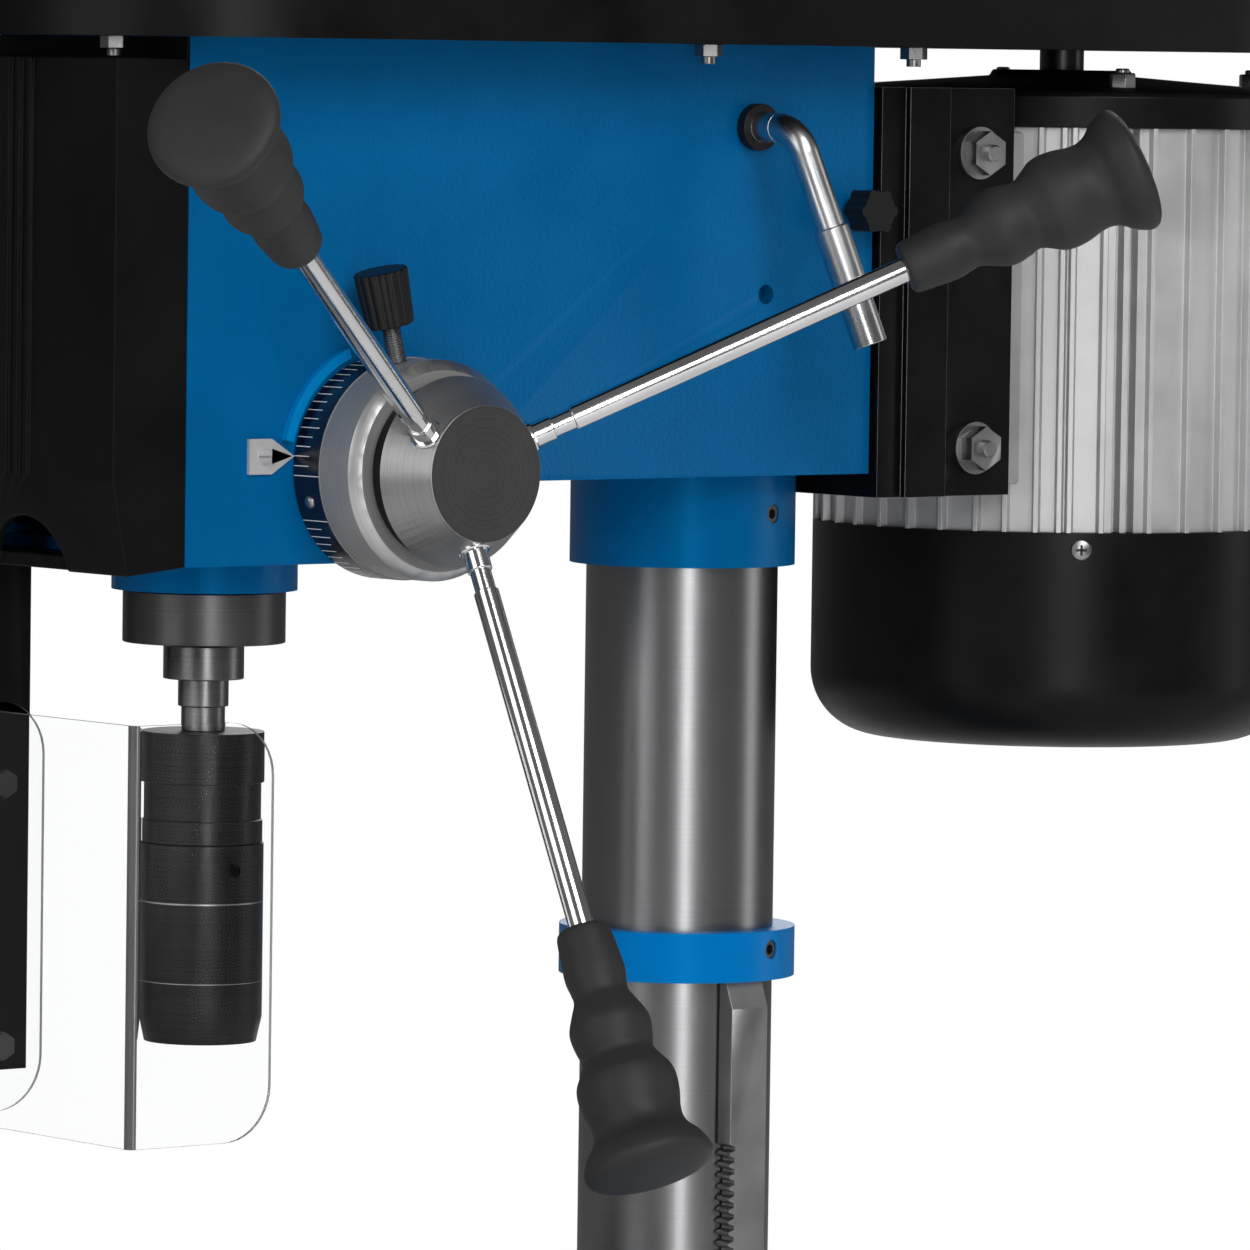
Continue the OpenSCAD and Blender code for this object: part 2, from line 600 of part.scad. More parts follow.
module head_profile(inset) {
  polygon([
    [head_y0 + inset, front_up + inset], [step_y0 - inset / 2, front_up + inset],
    [step_y1 - inset / 2, rear_up + inset], [head_rear - inset, rear_up + inset],
    [head_rear - inset, head_h - inset], [head_y0 + inset, head_h - inset]]);
}
module head_casting() color([0.0, 0.38, 0.65]) translate([0, 0, head_z]) difference() {
  union() {
    difference() {
      translate([-head_x, 0, 0]) yz(head_w) head_profile(0);
      difference() {
        translate([-head_x + head_wall, head_y0 - over, front_up + head_wall])
          cube([head_w - 2 * head_wall, sy + throat - clamp_front - head_y0 + over,
            head_h - deck_t - front_up - head_wall]);
        translate([-head_x, 0, 0]) yz(head_w) polygon([
          [step_y0 - head_wall, front_up], [step_y1 - head_wall, rear_up + head_wall],
          [head_rear, rear_up + head_wall], [head_rear, front_up]]);
      }
    }
    cylinder(r = socket_d / 2, h = rear_up + head_wall);
    translate([0, sy, -boss_drop]) cylinder(r = boss_r, h = front_up + boss_drop + head_wall);
    translate([0, sy, front_up]) cylinder(r = barrel_r, h = head_h - front_up);
    translate([-head_x, feed_y, feed_h]) xcyl(feed_boss_r, head_w);
    difference() {
      translate([head_x - head_wall, feed_y, feed_h]) xcyl(head_boss_r, head_wall + head_boss_t);
      translate([0, feed_y - head_boss_r - over, front_up - 3 * head_boss_r])
        cube([2 * head_x, 2 * head_boss_r + 2 * over, 3 * head_boss_r]);
    }
    translate([head_x - head_wall / 2, feed_y, feed_h]) rotate([90, 0, 90])
      rotate([0, 0, head_rim_a0]) rotate_extrude(angle = head_rim_a1 - head_rim_a0)
        translate([head_rim_r - head_rim_w, 0]) square([head_rim_w, head_wall / 2 + head_rim_t]);
  }
  // Bores for column, quill, spindle bearings and feed shaft
  translate([0, 0, -over]) cylinder(r = col_r, h = column_top_h + over);
  translate([0, sy, -boss_drop - over])
    cylinder(r = quill_r + run_gap, h = quill_top + boss_drop + over + free_gap);
  translate([0, sy, 0]) cylinder(r = bearing_seat_r - head_wall / 2, h = head_h + over);
  translate([0, sy, bearing_z]) cylinder(r = bearing_seat_r, h = head_h);
  translate([0, feed_y, feed_h]) xcyl(feed_journal_r + run_gap, head_w);
  translate([-feed_half - free_gap, feed_y, feed_h]) xcyl(feed_journal_r + run_gap, feed_half + 2 * free_gap);
  translate([-head_w, feed_y, feed_h]) xcyl(feed_tail_r + run_gap, head_w);
  // Slide bars of the motor, belt lever, lock screws
  for (i = [-1, 1]) translate([i * bar_x, head_rear - bar_l, bar_up]) ycyl(bar_r + run_gap, bar_l + over);
  translate([-bar_x - lever_arm_t, lever_y, lever_up])
    xcyl(lever_rod_r + run_gap, head_x + bar_x + lever_arm_t + over);
  for (i = [-1, 1]) translate([i * bar_x - lever_arm_t / 2 - free_gap, lever_y - lever_room, bar_up])
    cube([lever_arm_t + 2 * free_gap, 2 * lever_room, head_h - bar_up + over]);
  translate([bar_x, knob_y, bar_up]) xcyl(knob_screw_r + run_gap, head_x);
  translate([head_x - head_wall, small_hole_y, small_hole_up]) xcyl(screw_d / 2, head_wall + over);
  rotate([0, 0, socket_screw_a]) translate([col_r - over, 0, socket_screw_up])
    xcyl(screw_d / 2, socket_d / 2);
  translate([0, idler_pin_y, head_h - deck_t / 2]) cylinder(r = idler_post_r, h = deck_t);
  translate([-head_x - over, guard_pivot_y, guard_pivot_up])
    xcyl(guard_pin_r + run_gap, head_wall + 2 * over);
}
lever_arm_t = 8;
lever_room = 22;
knob_y = 35;
knob_screw_r = 4;
small_hole_y = -10.5;
small_hole_down = 34.5;
small_hole_up = bar_up - small_hole_down;

// Black cover that closes the front of the head
cover_t = 3;
cover_y1 = head_y0 - cover_d;
chin_up = 42;
cover_notch_r = 26;
cover_rib_w = 3;
cover_rib_gap = 7.3;
cover_room = 8.5;
cover_chin_share = 0.2;
cover_top = head_h - cover_room;
module front_cover() color([0.07, 0.07, 0.07]) translate([0, 0, head_z]) difference() {
  union() {
    translate([-head_x, 0, 0]) yz(head_w) polygon([
      [head_y0, front_up], [cover_y1 + cover_d * cover_chin_share, front_up - cover_t],
      [cover_y1, chin_up], [cover_y1, cover_top], [head_y0, cover_top]]);
    for (i = [-1 : 1]) translate([i * cover_rib_gap - cover_rib_w / 2, cover_y1 - cover_rib_w / 2, chin_up])
      cube([cover_rib_w, cover_rib_w, cover_top - chin_up]);
  }
  translate([-head_x + cover_t, 0, 0]) yz(head_w - 2 * cover_t) polygon([
    [head_y0 + over, front_up + cover_t],
    [cover_y1 + cover_d * cover_chin_share + cover_t, front_up + cover_t],
    [cover_y1 + cover_t, chin_up], [cover_y1 + cover_t, cover_top - cover_t],
    [head_y0 + over, cover_top - cover_t]]);
  translate([0, cover_y1 - over, front_up - cover_notch_r * 0.3])
    ycyl(cover_notch_r, cover_d * cover_chin_share + cover_t + over);
}

// Switch box on the left side of the head
cap_r = 32;
switch_gap = 8;
switch_y = feed_y + cap_r + switch_w / 2 + switch_gap;
switch_down = 73.5;
switch_z = head_h - switch_down;
button_r = 11;
button_l = 12;
button_show = 5;
module switch_box() color([0.1, 0.1, 0.1]) translate([-head_x, switch_y, head_z + switch_z]) difference() {
  translate([-switch_d, 0, 0]) yz(switch_d) rrect(switch_w, switch_h, base_wall / 2);
  translate([-switch_d + tray_t, 0, 0]) yz(switch_d - 2 * tray_t)
    rrect(switch_w - 2 * tray_t, switch_h - 2 * tray_t, tray_t);
  for (j = [-1, 1]) translate([-switch_d - over, 0, j * switch_h / 4])
    xcyl(button_r + 2 * run_gap, tray_t + 2 * over);
}
module push_button(j) {
  translate([-head_x - switch_d - button_show, switch_y, head_z + switch_z + j * switch_h / 4]) {
    xcyl(button_r, button_l);
    translate([button_l, 0, 0])
      xcyl(button_r / 2, switch_d + button_show - button_l - tray_t - button_travel - free_gap);
  }
}
module start_button() color([0.1, 0.6, 0.2]) push_button(1);
module stop_button() color([0.8, 0.1, 0.1]) push_button(-1);

// Pointer of the depth scale, held by a screw
pointer_l = 22;
pointer_h = 14;
pointer_t = 1.6;
pointer_screw_r = 2.6;
pointer_up = 5;
pointer_dy = head_boss_r + free_gap + pointer_l;
module depth_pointer() color([0.75, 0.75, 0.75])
  translate([head_x, feed_y - pointer_dy, feed_z + pointer_up]) difference() {
    union() {
      yz(pointer_t) polygon([[0, -pointer_h / 2], [pointer_l / 2, -pointer_h / 2], [pointer_l, 0],
        [pointer_l / 2, pointer_h / 2], [0, pointer_h / 2]]);
      translate([pointer_t, pointer_h / 2, 0]) xcyl(pointer_screw_r, pointer_t);
    }
    translate([2 * pointer_t - pointer_t / 3, pointer_h / 2, 0])
      cube([pointer_t, 2 * pointer_screw_r, pointer_t / 2], center = true);
  }

// Return spring of the quill in its cap on the left side
cap_h = 20;
cap_t = 2.5;
spring_t = 1;
spring_w = 12;
spring_turns = 5;
spring_r0 = 12.5;
module return_spring_cap() color([0.1, 0.1, 0.1]) translate([-head_x - cap_h, feed_y, feed_z]) difference() {
  xcyl(cap_r, cap_h);
  translate([cap_t, 0, 0]) xcyl(cap_r - cap_t, cap_h);
  translate([-over, 0, 0]) xcyl(feed_tail_r + free_gap, cap_t + 2 * over);
}
spring_n = spring_turns * 24;
spring_pitch = (cap_r - cap_t - spring_r0 - spring_t / 2) / spring_turns;
function spring_at(i, side) =
  pol(spring_r0 + spring_pitch * i / 24 + side * spring_t / 2, i * 360 / 24);
module return_spring() color([0.35, 0.35, 0.4])
  translate([-head_x - cap_h + cap_t + (cap_h - cap_t - spring_w) / 2, feed_y, feed_z]) {
    yz(spring_w) polygon(concat([for (i = [0 : spring_n]) spring_at(i, 1)],
      [for (i = [spring_n : -1 : 0]) spring_at(i, -1)]));
    // Inner end of the spring, bent to the shaft
    difference() {
      xcyl(spring_r0 + spring_t / 2, spring_w);
      translate([-over, 0, 0]) xcyl(spring_r0 - spring_t / 2, spring_w + 2 * over);
    }
    spring_tab();
  }
module spring_tab() {
  translate([0, feed_tail_r + free_gap, -spring_t / 2]) cube([spring_w, spring_r0 - feed_tail_r, spring_t]);
}

// Belt drive
sleeve2_r = 17;
sleeve2_step = 2;
sleeve2_bore = 9.3;
spline_r = 9;
key_w = 4;
key_r = 11;
pulley_gap = 5;
pulley_z = head_top + tray_t + pulley_gap;
steps = 4;
groove_top = 8;
groove_deep = 6;
idler_top_r = 36;
step_dr = 8;
motor_low_r = 28;
spindle_low_r = 40;
idler_rs = [for (i = [0 : steps - 1]) idler_top_r + (steps - 1 - i) * step_dr];
motor_rs = [for (i = [0 : steps - 1]) motor_low_r + i * step_dr];
spindle_rs = [for (i = [0 : steps - 1]) spindle_low_r + i * step_dr];
// The two belts run on these steps, counted from the bottom
motor_step = 1;
spindle_step = 3;
pulley_h = steps * step_h;

// Stepped pulley with a groove in each step
module pulley(rs, bore) {
  rotate_extrude() polygon(concat([[bore, 0]],
    [for (i = [0 : steps - 1]) let (z = i * step_h, r = rs[i], m = z + step_h / 2)
      each [[r, z], [r, m - groove_top / 2], [r - groove_deep, m - groove_top / 4],
        [r - groove_deep, m + groove_top / 4], [r, m + groove_top / 2], [r, z + step_h]]],
    [[bore, pulley_h]]));
}
belt_h = groove_top * 0.8;
belt_t = groove_deep * 0.72;
belt_up = 0.6;
belt_in = groove_deep - belt_up;
// Loop of a belt round two circles on the Y axis, seen from above
module belt_outline(y0, r0, y1, r1) {
  s = (r0 - r1) / (y1 - y0);
  c = sqrt(1 - s * s);
  translate([0, y0]) circle(r = r0);
  translate([0, y1]) circle(r = r1);
  polygon([[r0 * c, y0 + r0 * s], [r1 * c, y1 + r1 * s], [-r1 * c, y1 + r1 * s], [-r0 * c, y0 + r0 * s]]);
}
module belt(y0, r0, y1, r1, z) {
  translate([0, 0, z - belt_h / 4]) linear_extrude(height = belt_h / 2) difference() {
    belt_outline(y0, r0 - belt_in + belt_t, y1, r1 - belt_in + belt_t);
    belt_outline(y0, r0 - belt_in, y1, r1 - belt_in);
  }
}
function step_mid(i) = pulley_z + (i + 1 / 2) * step_h;
module spindle_belt() color([0.05, 0.05, 0.05])
  belt(sy, spindle_rs[spindle_step], -idler_y, idler_rs[spindle_step], step_mid(spindle_step));
module motor_belt() color([0.05, 0.05, 0.05])
  belt(-idler_y, idler_rs[motor_step], motor_reach, motor_rs[motor_step], step_mid(motor_step));

sleeve2_z0 = head_z + bearing_z;
sleeve2_top = pulley_z + pulley_h;
module drive_sleeve() color([0.6, 0.6, 0.62]) translate([0, sy, 0]) difference() {
  union() {
    translate([0, 0, sleeve2_z0]) cylinder(r = sleeve2_r, h = pulley_z - sleeve2_z0);
    translate([0, 0, pulley_z]) cylinder(r = sleeve2_r - sleeve2_step, h = pulley_h);
  }
  translate([0, 0, sleeve2_z0 - over]) cylinder(r = sleeve2_bore, h = sleeve2_top - sleeve2_z0 + 2 * over);
  for (a = [0 : 90 : 359]) rotate([0, 0, a]) translate([0, -key_w / 2 - free_gap / 2, sleeve2_z0 - over])
    cube([key_r + free_gap / 2, key_w + free_gap, sleeve2_top - sleeve2_z0 + 2 * over]);
}
module head_bearings() color([0.75, 0.75, 0.77]) translate([0, sy, sleeve2_z0])
  for (i = [0, 1]) translate([0, 0, i * (bearing_h + bearing_space)])
    ring(bearing_seat_r, sleeve2_r + run_gap, bearing_h);
module spindle_pulley() color([0.75, 0.75, 0.76]) translate([0, sy, pulley_z])
  pulley(spindle_rs, sleeve2_r - sleeve2_step);

idler_post_r = 8;
idler_arm_t = 4;
idler_pin_y = 24;
module idler_arm() color([0.55, 0.55, 0.56]) {
  translate([0, -idler_y, head_top + tray_t]) cylinder(r = 2 * idler_post_r, h = idler_arm_t);
  translate([-idler_post_r, -idler_y, head_top + tray_t])
    cube([2 * idler_post_r, idler_y + idler_pin_y, idler_arm_t]);
  translate([0, idler_pin_y, head_top - deck_t / 2])
    cylinder(r = idler_post_r, h = deck_t / 2 + tray_t + idler_arm_t);
  translate([0, -idler_y, head_top + tray_t]) cylinder(r = idler_post_r, h = pulley_gap + pulley_h);
}
module idler_pulley() color([0.75, 0.75, 0.76]) translate([0, -idler_y, pulley_z])
  pulley(idler_rs, idler_post_r + run_gap);

module capsule(r) {
  translate([0, sy]) circle(r = r);
  translate([0, motor_reach]) circle(r = r);
  translate([-r, sy]) square([2 * r, motor_reach - sy]);
}
motor_play = 12;
hinge_r = 5;
hinge_pin_r = 2.5;
hinge_l = 60;
hinge_share = [0.15, 0.75];
hinge_ys = [for (s = hinge_share) sy + s * (motor_reach - sy)];
lid_z = head_top + tray_h;
hinge_x = -tray_r - hinge_r - free_gap / 2;
module belt_cover_tray() color([0.05, 0.05, 0.05]) difference() {
  union() {
    translate([0, 0, head_top]) linear_extrude(height = tray_h) capsule(tray_r);
    for (y = hinge_ys) {
      translate([hinge_x, y, lid_z - free_gap / 2]) ycyl(hinge_r, hinge_l / 3);
      translate([hinge_x, y, lid_z - free_gap / 2]) ycyl(hinge_pin_r, hinge_l);
      translate([hinge_x, y, lid_z - 3 * hinge_r]) cube([2 * hinge_r, hinge_l / 3, 2 * hinge_r]);
    }
  }
  translate([0, 0, head_top + tray_t]) linear_extrude(height = tray_h) capsule(tray_r - tray_t);
  translate([0, sy, head_top - over]) cylinder(r = bearing_seat_r, h = tray_h);
  translate([0, idler_pin_y, head_top - over]) cylinder(r = idler_post_r, h = tray_h);
  shaft_slot();
  for (p = tray_bolts) translate([p[0], p[1], head_top - over])
    cylinder(r = tray_bolt_d / 2, h = tray_t + 2 * over);
}
// Opening in the tray through which the motor's shaft passes and slides
module shaft_slot() {
  translate([0, motor_reach + motor_play / 2, head_top - over]) linear_extrude(height = tray_t + 2 * over)
    slot2d(shaft_d + 4 * over, shaft_d + 4 * over + motor_play);
}
lid_top = lid_z + lid_h;
module belt_cover_lid() color([0.05, 0.05, 0.05]) difference() {
  union() {
    translate([0, 0, lid_z + free_gap]) linear_extrude(height = lid_h - free_gap - lid_crown) capsule(tray_r);
    translate([0, 0, lid_top - lid_crown]) linear_extrude(height = lid_crown) capsule(tray_r - lid_crown);
    for (y = hinge_ys) {
      translate([hinge_x, y + hinge_l / 3 + free_gap, lid_z - free_gap / 2])
        ycyl(hinge_r, hinge_l * 2 / 3 - free_gap);
      translate([hinge_x, y + hinge_l / 3 + free_gap, lid_z + hinge_r])
        cube([2 * hinge_r, hinge_l * 2 / 3 - free_gap, hinge_r * 2]);
      translate([hinge_x - hinge_r, y + hinge_l / 3 + free_gap, lid_z - free_gap / 2])
        cube([hinge_r, hinge_l * 2 / 3 - free_gap, 3 * hinge_r]);
    }
    translate([tray_r - over, sy / 4, lid_z + lid_h / 3]) xcyl(lid_knob_r / 2, lid_knob_l / 2);
    translate([tray_r - over + lid_knob_l / 2, sy / 4, lid_z + lid_h / 3]) xcyl(lid_knob_r, lid_knob_l);
  }
  translate([0, 0, lid_z - over]) linear_extrude(height = lid_h - 2 * lid_crown + over)
    capsule(tray_r - tray_t);
  for (y = hinge_ys) translate([hinge_x, y, lid_z - free_gap / 2])
    ycyl(hinge_pin_r + run_gap, hinge_l + over);
}
lid_crown = tray_t;
lid_knob_r = 12;
lid_knob_l = 14;

// Motor and its slide
my = motor_reach;
motor_r = motor_d / 2;
cover_space = 8.5;
top_cover_h = 24;
housing_z0 = head_top - cover_space - top_cover_h - housing_h;
housing_z1 = housing_z0 + housing_h;
fin_deep = 9;
fin_n = 66;
stator_r = 52;
foot_play = 1;
foot_w = head_w - foot_play;
plate_t = 4;
bracket_gap = 0.6;
bracket_space = 4.4;
bracket_y0 = max(head_rear, socket_d / 2) + bracket_gap;
bracket_y1 = my - sqrt(motor_r * motor_r - foot_w * foot_w / 4) - bracket_space;
motor_bolt_edge = 20;
motor_bolt_y = bracket_y1 - motor_bolt_edge;
foot_up = 2;
foot_edge = 9;
foot_y0 = motor_bolt_y - foot_edge;
shield_step = 10;
fin_share = [0.34, 0.6, 0.34, 0.34, 0.22, 0.5];
function fin_w(i) = fin_share[i % len(fin_share)];
function fin_pts() = [for (i = [0 : fin_n - 1])
  let (a = 360 * i / fin_n, w = 360 / fin_n * fin_w(i) / 2, r = motor_r - fin_deep)
  each [pol(r, a - w), pol(motor_r, a - w), pol(motor_r, a + w), pol(r, a + w)]];
module motor_housing() color([0.72, 0.72, 0.73]) difference() {
  union() {
    translate([0, my, housing_z0]) linear_extrude(height = housing_h) polygon(fin_pts());
    translate([-foot_w / 2, foot_y0, housing_z0 + foot_up])
      cube([foot_w, my - foot_y0, housing_h - 2 * foot_up]);
  }
  translate([0, my, housing_z0 - over]) cylinder(r = stator_r, h = housing_h + 2 * over);
  for (z = motor_bolt_zs, i = [-1, 1])
    translate([i * (foot_w / 2 + over), motor_bolt_y, z]) rotate([0, -90 * i, 0])
      cylinder(r = motor_bolt_d / 2, h = motor_bolt_l);
}
core_up = 12;
motor_bolt_low = 34;
motor_bolt_high = 9;
motor_bolt_zs = [housing_z0 + foot_up + motor_bolt_low, housing_z1 - foot_up - motor_bolt_high];
motor_bolt_d = 10;
motor_bolt_l = 24;
module motor_top_cover() color([0.06, 0.06, 0.06]) translate([0, my, housing_z1]) rotate_extrude() polygon([
  [shaft_d / 2 + run_gap, 0], [motor_r, 0], [motor_r, top_cover_h / 2],
  [motor_r - shield_step, top_cover_h * 0.72],
  [motor_r / 2, top_cover_h], [shaft_d / 2 + run_gap, top_cover_h]]);
bell_round = 28;
bell_t = 3;
module motor_bell() color([0.05, 0.05, 0.05]) translate([0, my, housing_z0 - bell_h]) difference() {
  rotate_extrude() union() {
    translate([0, bell_round]) square([motor_r, bell_h - bell_round]);
    square([motor_r - bell_round, bell_h]);
    intersection() {
      translate([motor_r - bell_round, bell_round]) circle(r = bell_round);
      square([motor_r, bell_h]);
    }
  }
  rotate_extrude() {
    translate([0, bell_round]) square([motor_r - bell_t, bell_h]);
    translate([0, bell_t]) square([motor_r - bell_round, bell_h]);
  }
  for (a = [0 : 30 : 359], r = [motor_r * 0.3, motor_r * 0.52])
    rotate([0, 0, a]) translate([r, 0, -over]) cylinder(r = bell_t, h = bell_t + 2 * over);
}
fan_r = motor_r * 0.7;
module motor_rotor() color([0.6, 0.6, 0.6]) translate([0, my, 0]) {
  translate([0, 0, housing_z0 - bell_h / 2])
    cylinder(r = shaft_d / 2, h = sleeve2_top - housing_z0 + bell_h / 2);
  translate([0, 0, housing_z0 + core_up]) cylinder(r = stator_r - free_gap, h = housing_h - 2 * core_up);
  translate([0, 0, housing_z0 - bell_h / 2]) {
    cylinder(r = fan_r, h = bell_t);
    for (a = [0 : 45 : 359]) rotate([0, 0, a]) translate([shaft_d, -bell_t / 2, 0])
      cube([fan_r - shaft_d, bell_t, bell_h / 4]);
  }
}
module motor_pulley() color([0.75, 0.75, 0.76]) translate([0, my, pulley_z]) pulley(motor_rs, shaft_d / 2);

bracket_up = 16;
bracket_z0 = housing_z0 + bracket_up;
bracket_h = housing_h;
bracket_bead_t = 3;
washer_r = 11;
bead_shares = [0.31, 0.53];
bead_room = motor_bolt_y - washer_r - bracket_y0;
bead_y0 = bead_shares[0] * bead_room;
bead_w = bead_shares[1] * bead_room;
bracket_x = foot_w / 2 + plate_t;
module bracket_side(i) {
  translate([i > 0 ? foot_w / 2 : -foot_w / 2 - plate_t, bracket_y0, bracket_z0])
    cube([plate_t, bracket_y1 - bracket_y0, bracket_h]);
  translate([i > 0 ? bracket_x : -bracket_x - bracket_bead_t, bracket_y0 + bead_y0, bracket_z0])
    cube([bracket_bead_t, bead_w, bracket_h]);
}
module motor_bracket() color([0.05, 0.05, 0.05]) difference() {
  union() {
    translate([-foot_w / 2, bracket_y0, bracket_z0]) cube([foot_w, plate_t, bracket_h]);
    bracket_side(1);
    bracket_side(-1);
  }
  for (i = [-1, 1]) {
    translate([i * bar_x, bracket_y0 - over, head_z + bar_up]) ycyl(bar_r * 0.7, plate_t + 2 * over);
    for (z = motor_bolt_zs) translate([i * (foot_w / 2 + plate_t / 2), motor_bolt_y, z])
      rotate([0, 90, 0]) translate([0, 0, -plate_t]) linear_extrude(height = 2 * plate_t)
        slot2d(motor_bolt_d, 2 * motor_bolt_d);
  }
}
washer_t = 2;
module motor_bolts() color([0.75, 0.75, 0.75]) for (z = motor_bolt_zs, i = [-1, 1])
  translate([i * bracket_x, motor_bolt_y, z]) rotate([0, 90 * i, 0]) {
    cylinder(r = washer_r, h = washer_t);
    translate([0, 0, washer_t]) hex(bolt_head_af, bolt_head_h);
    translate([0, 0, -plate_t - motor_bolt_l / 2])
      cylinder(r = motor_bolt_d / 2, h = plate_t + motor_bolt_l / 2);
  }
bar_y0 = head_rear - bar_l + motor_play;
module slide_bars() color([0.62, 0.62, 0.63]) for (i = [-1, 1])
  translate([i * bar_x, 0, head_z + bar_up]) difference() {
  union() {
    translate([0, bar_y0, 0]) ycyl(bar_r, bracket_y0 - bar_y0);
    translate([0, bracket_y0, 0]) ycyl(bar_r * 0.7, 2 * plate_t);
    translate([0, bracket_y0 + plate_t, 0]) rotate([-90, 0, 0]) hex(2 * bar_r, plate_t);
  }
  translate([-bar_r - over, lever_y - lever_tip_r - tip_gap, bar_notch])
    cube([2 * bar_r + 2 * over, 2 * lever_tip_r + 2 * tip_gap, 2 * bar_r]);
}
lever_tip_r = 3.5;
lever_arm_share = 0.6;
tip_gap = 0.7;
bar_notch = -0.5;
lever_arm_r = 30;
lever_out = 16;
lever_bend_r = 14;
lever_drop = 82;
lever_grip_r = 7.2;
lever_grip_l = 50;
lever_lean = 13;
lever_swing = 15;
bush_r = 9.6;
bush_t = 5;
// Lever that pulls the motor back and tightens the belt
module tension_lever() color([0.75, 0.75, 0.75]) translate([0, lever_y, head_z + lever_up]) {
  translate([-bar_x - lever_arm_t / 2, 0, 0]) xcyl(lever_rod_r, head_x + lever_out + bar_x + lever_arm_t / 2);
  for (i = [-1, 1]) translate([i * bar_x - lever_arm_t / 2, 0, 0]) {
    xcyl(lever_rod_r * 1.5, lever_arm_t);
    translate([0, -lever_arm_share * lever_tip_r, -lever_arm_r])
      cube([lever_arm_t, 2 * lever_arm_share * lever_tip_r, lever_arm_r]);
    translate([0, 0, -lever_arm_r]) xcyl(lever_tip_r, lever_arm_t);
  }
  translate([head_x + free_gap, 0, 0]) xcyl(bush_r, bush_t);
  translate([head_x + lever_out, 0, 0]) rotate([lever_swing, 0, 0]) {
    translate([0, 0, -lever_bend_r]) rotate([90, 0, 0]) rotate([0, 0, lever_lean])
      rotate_extrude(angle = 90 - lever_lean) translate([lever_bend_r, 0]) circle(r = lever_rod_r);
    translate([lever_bend_r * cos(lever_lean), 0, lever_bend_r * sin(lever_lean) - lever_bend_r])
      rotate([0, -lever_lean, 0]) translate([0, 0, -lever_drop]) {
        cylinder(r = lever_rod_r, h = lever_drop);
        cylinder(r = lever_grip_r, h = lever_grip_l);
      }
  }
}
knob_r = 9.5;
knob_h = 12;
knob_gap = 6;
module slide_lock_knob() color([0.06, 0.06, 0.06]) translate([0, knob_y, head_z + bar_up]) {
  translate([bar_x + bar_r + 2 * run_gap, 0, 0]) xcyl(knob_screw_r, head_x + knob_gap - bar_x - bar_r);
  translate([head_x + knob_gap, 0, 0]) {
    xcyl(knob_r * 0.85, knob_h);
    for (a = [0 : 60 : 359]) rotate([a, 0, 0]) translate([0, knob_r * 0.75, 0])
      xcyl(knob_r / 4, knob_h);
  }
}

// Quill and spindle
quill_low = 26.3;
quill_neck_r = 26;
qb_h = 16;
qb_r = 23.5;
spindle_r = 14;
quill_space = 3;
spindle_over = 73.5;
spindle_top_h = head_h + spindle_over;
nose_h = 13.5;
nose_top = 27.5;
module quill() color([0.6, 0.6, 0.61]) translate([0, sy, head_z]) difference() {
  union() {
    translate([0, 0, -boss_drop]) cylinder(r = quill_r, h = quill_top + boss_drop);
    translate([0, 0, -quill_low]) cylinder(r = quill_neck_r, h = quill_low);
  }
  translate([0, 0, -quill_low - over])
    cylinder(r = spindle_r + quill_space, h = quill_top + quill_low + 2 * over);
  translate([0, 0, -quill_low - over]) cylinder(r = qb_r, h = qb_h + over);
  translate([0, 0, quill_top - qb_h]) cylinder(r = qb_r, h = qb_h + over);
  // Rack teeth cut in the quill's back, over the feed pinion's reach
  translate([-quill_r, quill_pitch + feed_add, feed_h - 2 * feed_p])
    cube([quill_d, quill_r, quill_travel + 4 * feed_p]);
  translate([-quill_r, quill_pitch, feed_h]) yz(quill_d) feed_gaps();
}
feed_p = PI * feed_m;
module feed_gaps() {
  hr = (feed_p / 2 + feed_slack) / 2 - feed_ded * tan(press);
  ho = (feed_p / 2 + feed_slack) / 2 + (feed_add + over) * tan(press);
  for (k = [-1 : ceil(quill_travel / feed_p) + 1]) translate([0, k * feed_p])
    polygon([[-feed_ded - feed_clear, -hr], [feed_add + over, -ho],
      [feed_add + over, ho], [-feed_ded - feed_clear, hr]]);
}
feed_clear = 0.15;
module quill_bearings() color([0.75, 0.75, 0.77]) translate([0, sy, head_z]) {
  translate([0, 0, -quill_low]) ring(qb_r, spindle_r + run_gap, qb_h);
  translate([0, 0, quill_top - qb_h]) ring(qb_r, spindle_r + run_gap, qb_h);
}
module quill_collar() color([0.2, 0.2, 0.2]) translate([0, sy, head_z - quill_low])
  ring(quill_collar_d / 2, quill_neck_r, quill_low - boss_drop - free_gap);
taper_r0 = 9;
taper_r1 = 7;
taper_h = 60;
neck_h = 11;
neck_d = 20.3;
arbor_d = 17.6;
arbor_h = 9.9;
chuck_seat_r0 = 8;
chuck_seat_r1 = 7;
chuck_seat_h = 24;
nose_z = -nose_top - nose_h;
module spindle() color([0.6, 0.6, 0.6]) translate([0, sy, head_z]) difference() {
  union() {
    translate([0, 0, nose_z]) cylinder(r = nose_d / 2, h = nose_h);
    translate([0, 0, -nose_top]) cylinder(r = spindle_r, h = quill_top + nose_top);
    translate([0, 0, quill_top]) cylinder(r = spline_r, h = spindle_top_h - quill_top);
    for (a = [0 : 90 : 359]) rotate([0, 0, a]) translate([0, -key_w / 2, quill_top])
      cube([key_r, key_w, spindle_top_h - quill_top]);
  }
  translate([0, 0, nose_z]) cylinder(r1 = taper_r0, r2 = taper_r1, h = taper_h);
}
chuck_top = nose_z - neck_h - arbor_h;
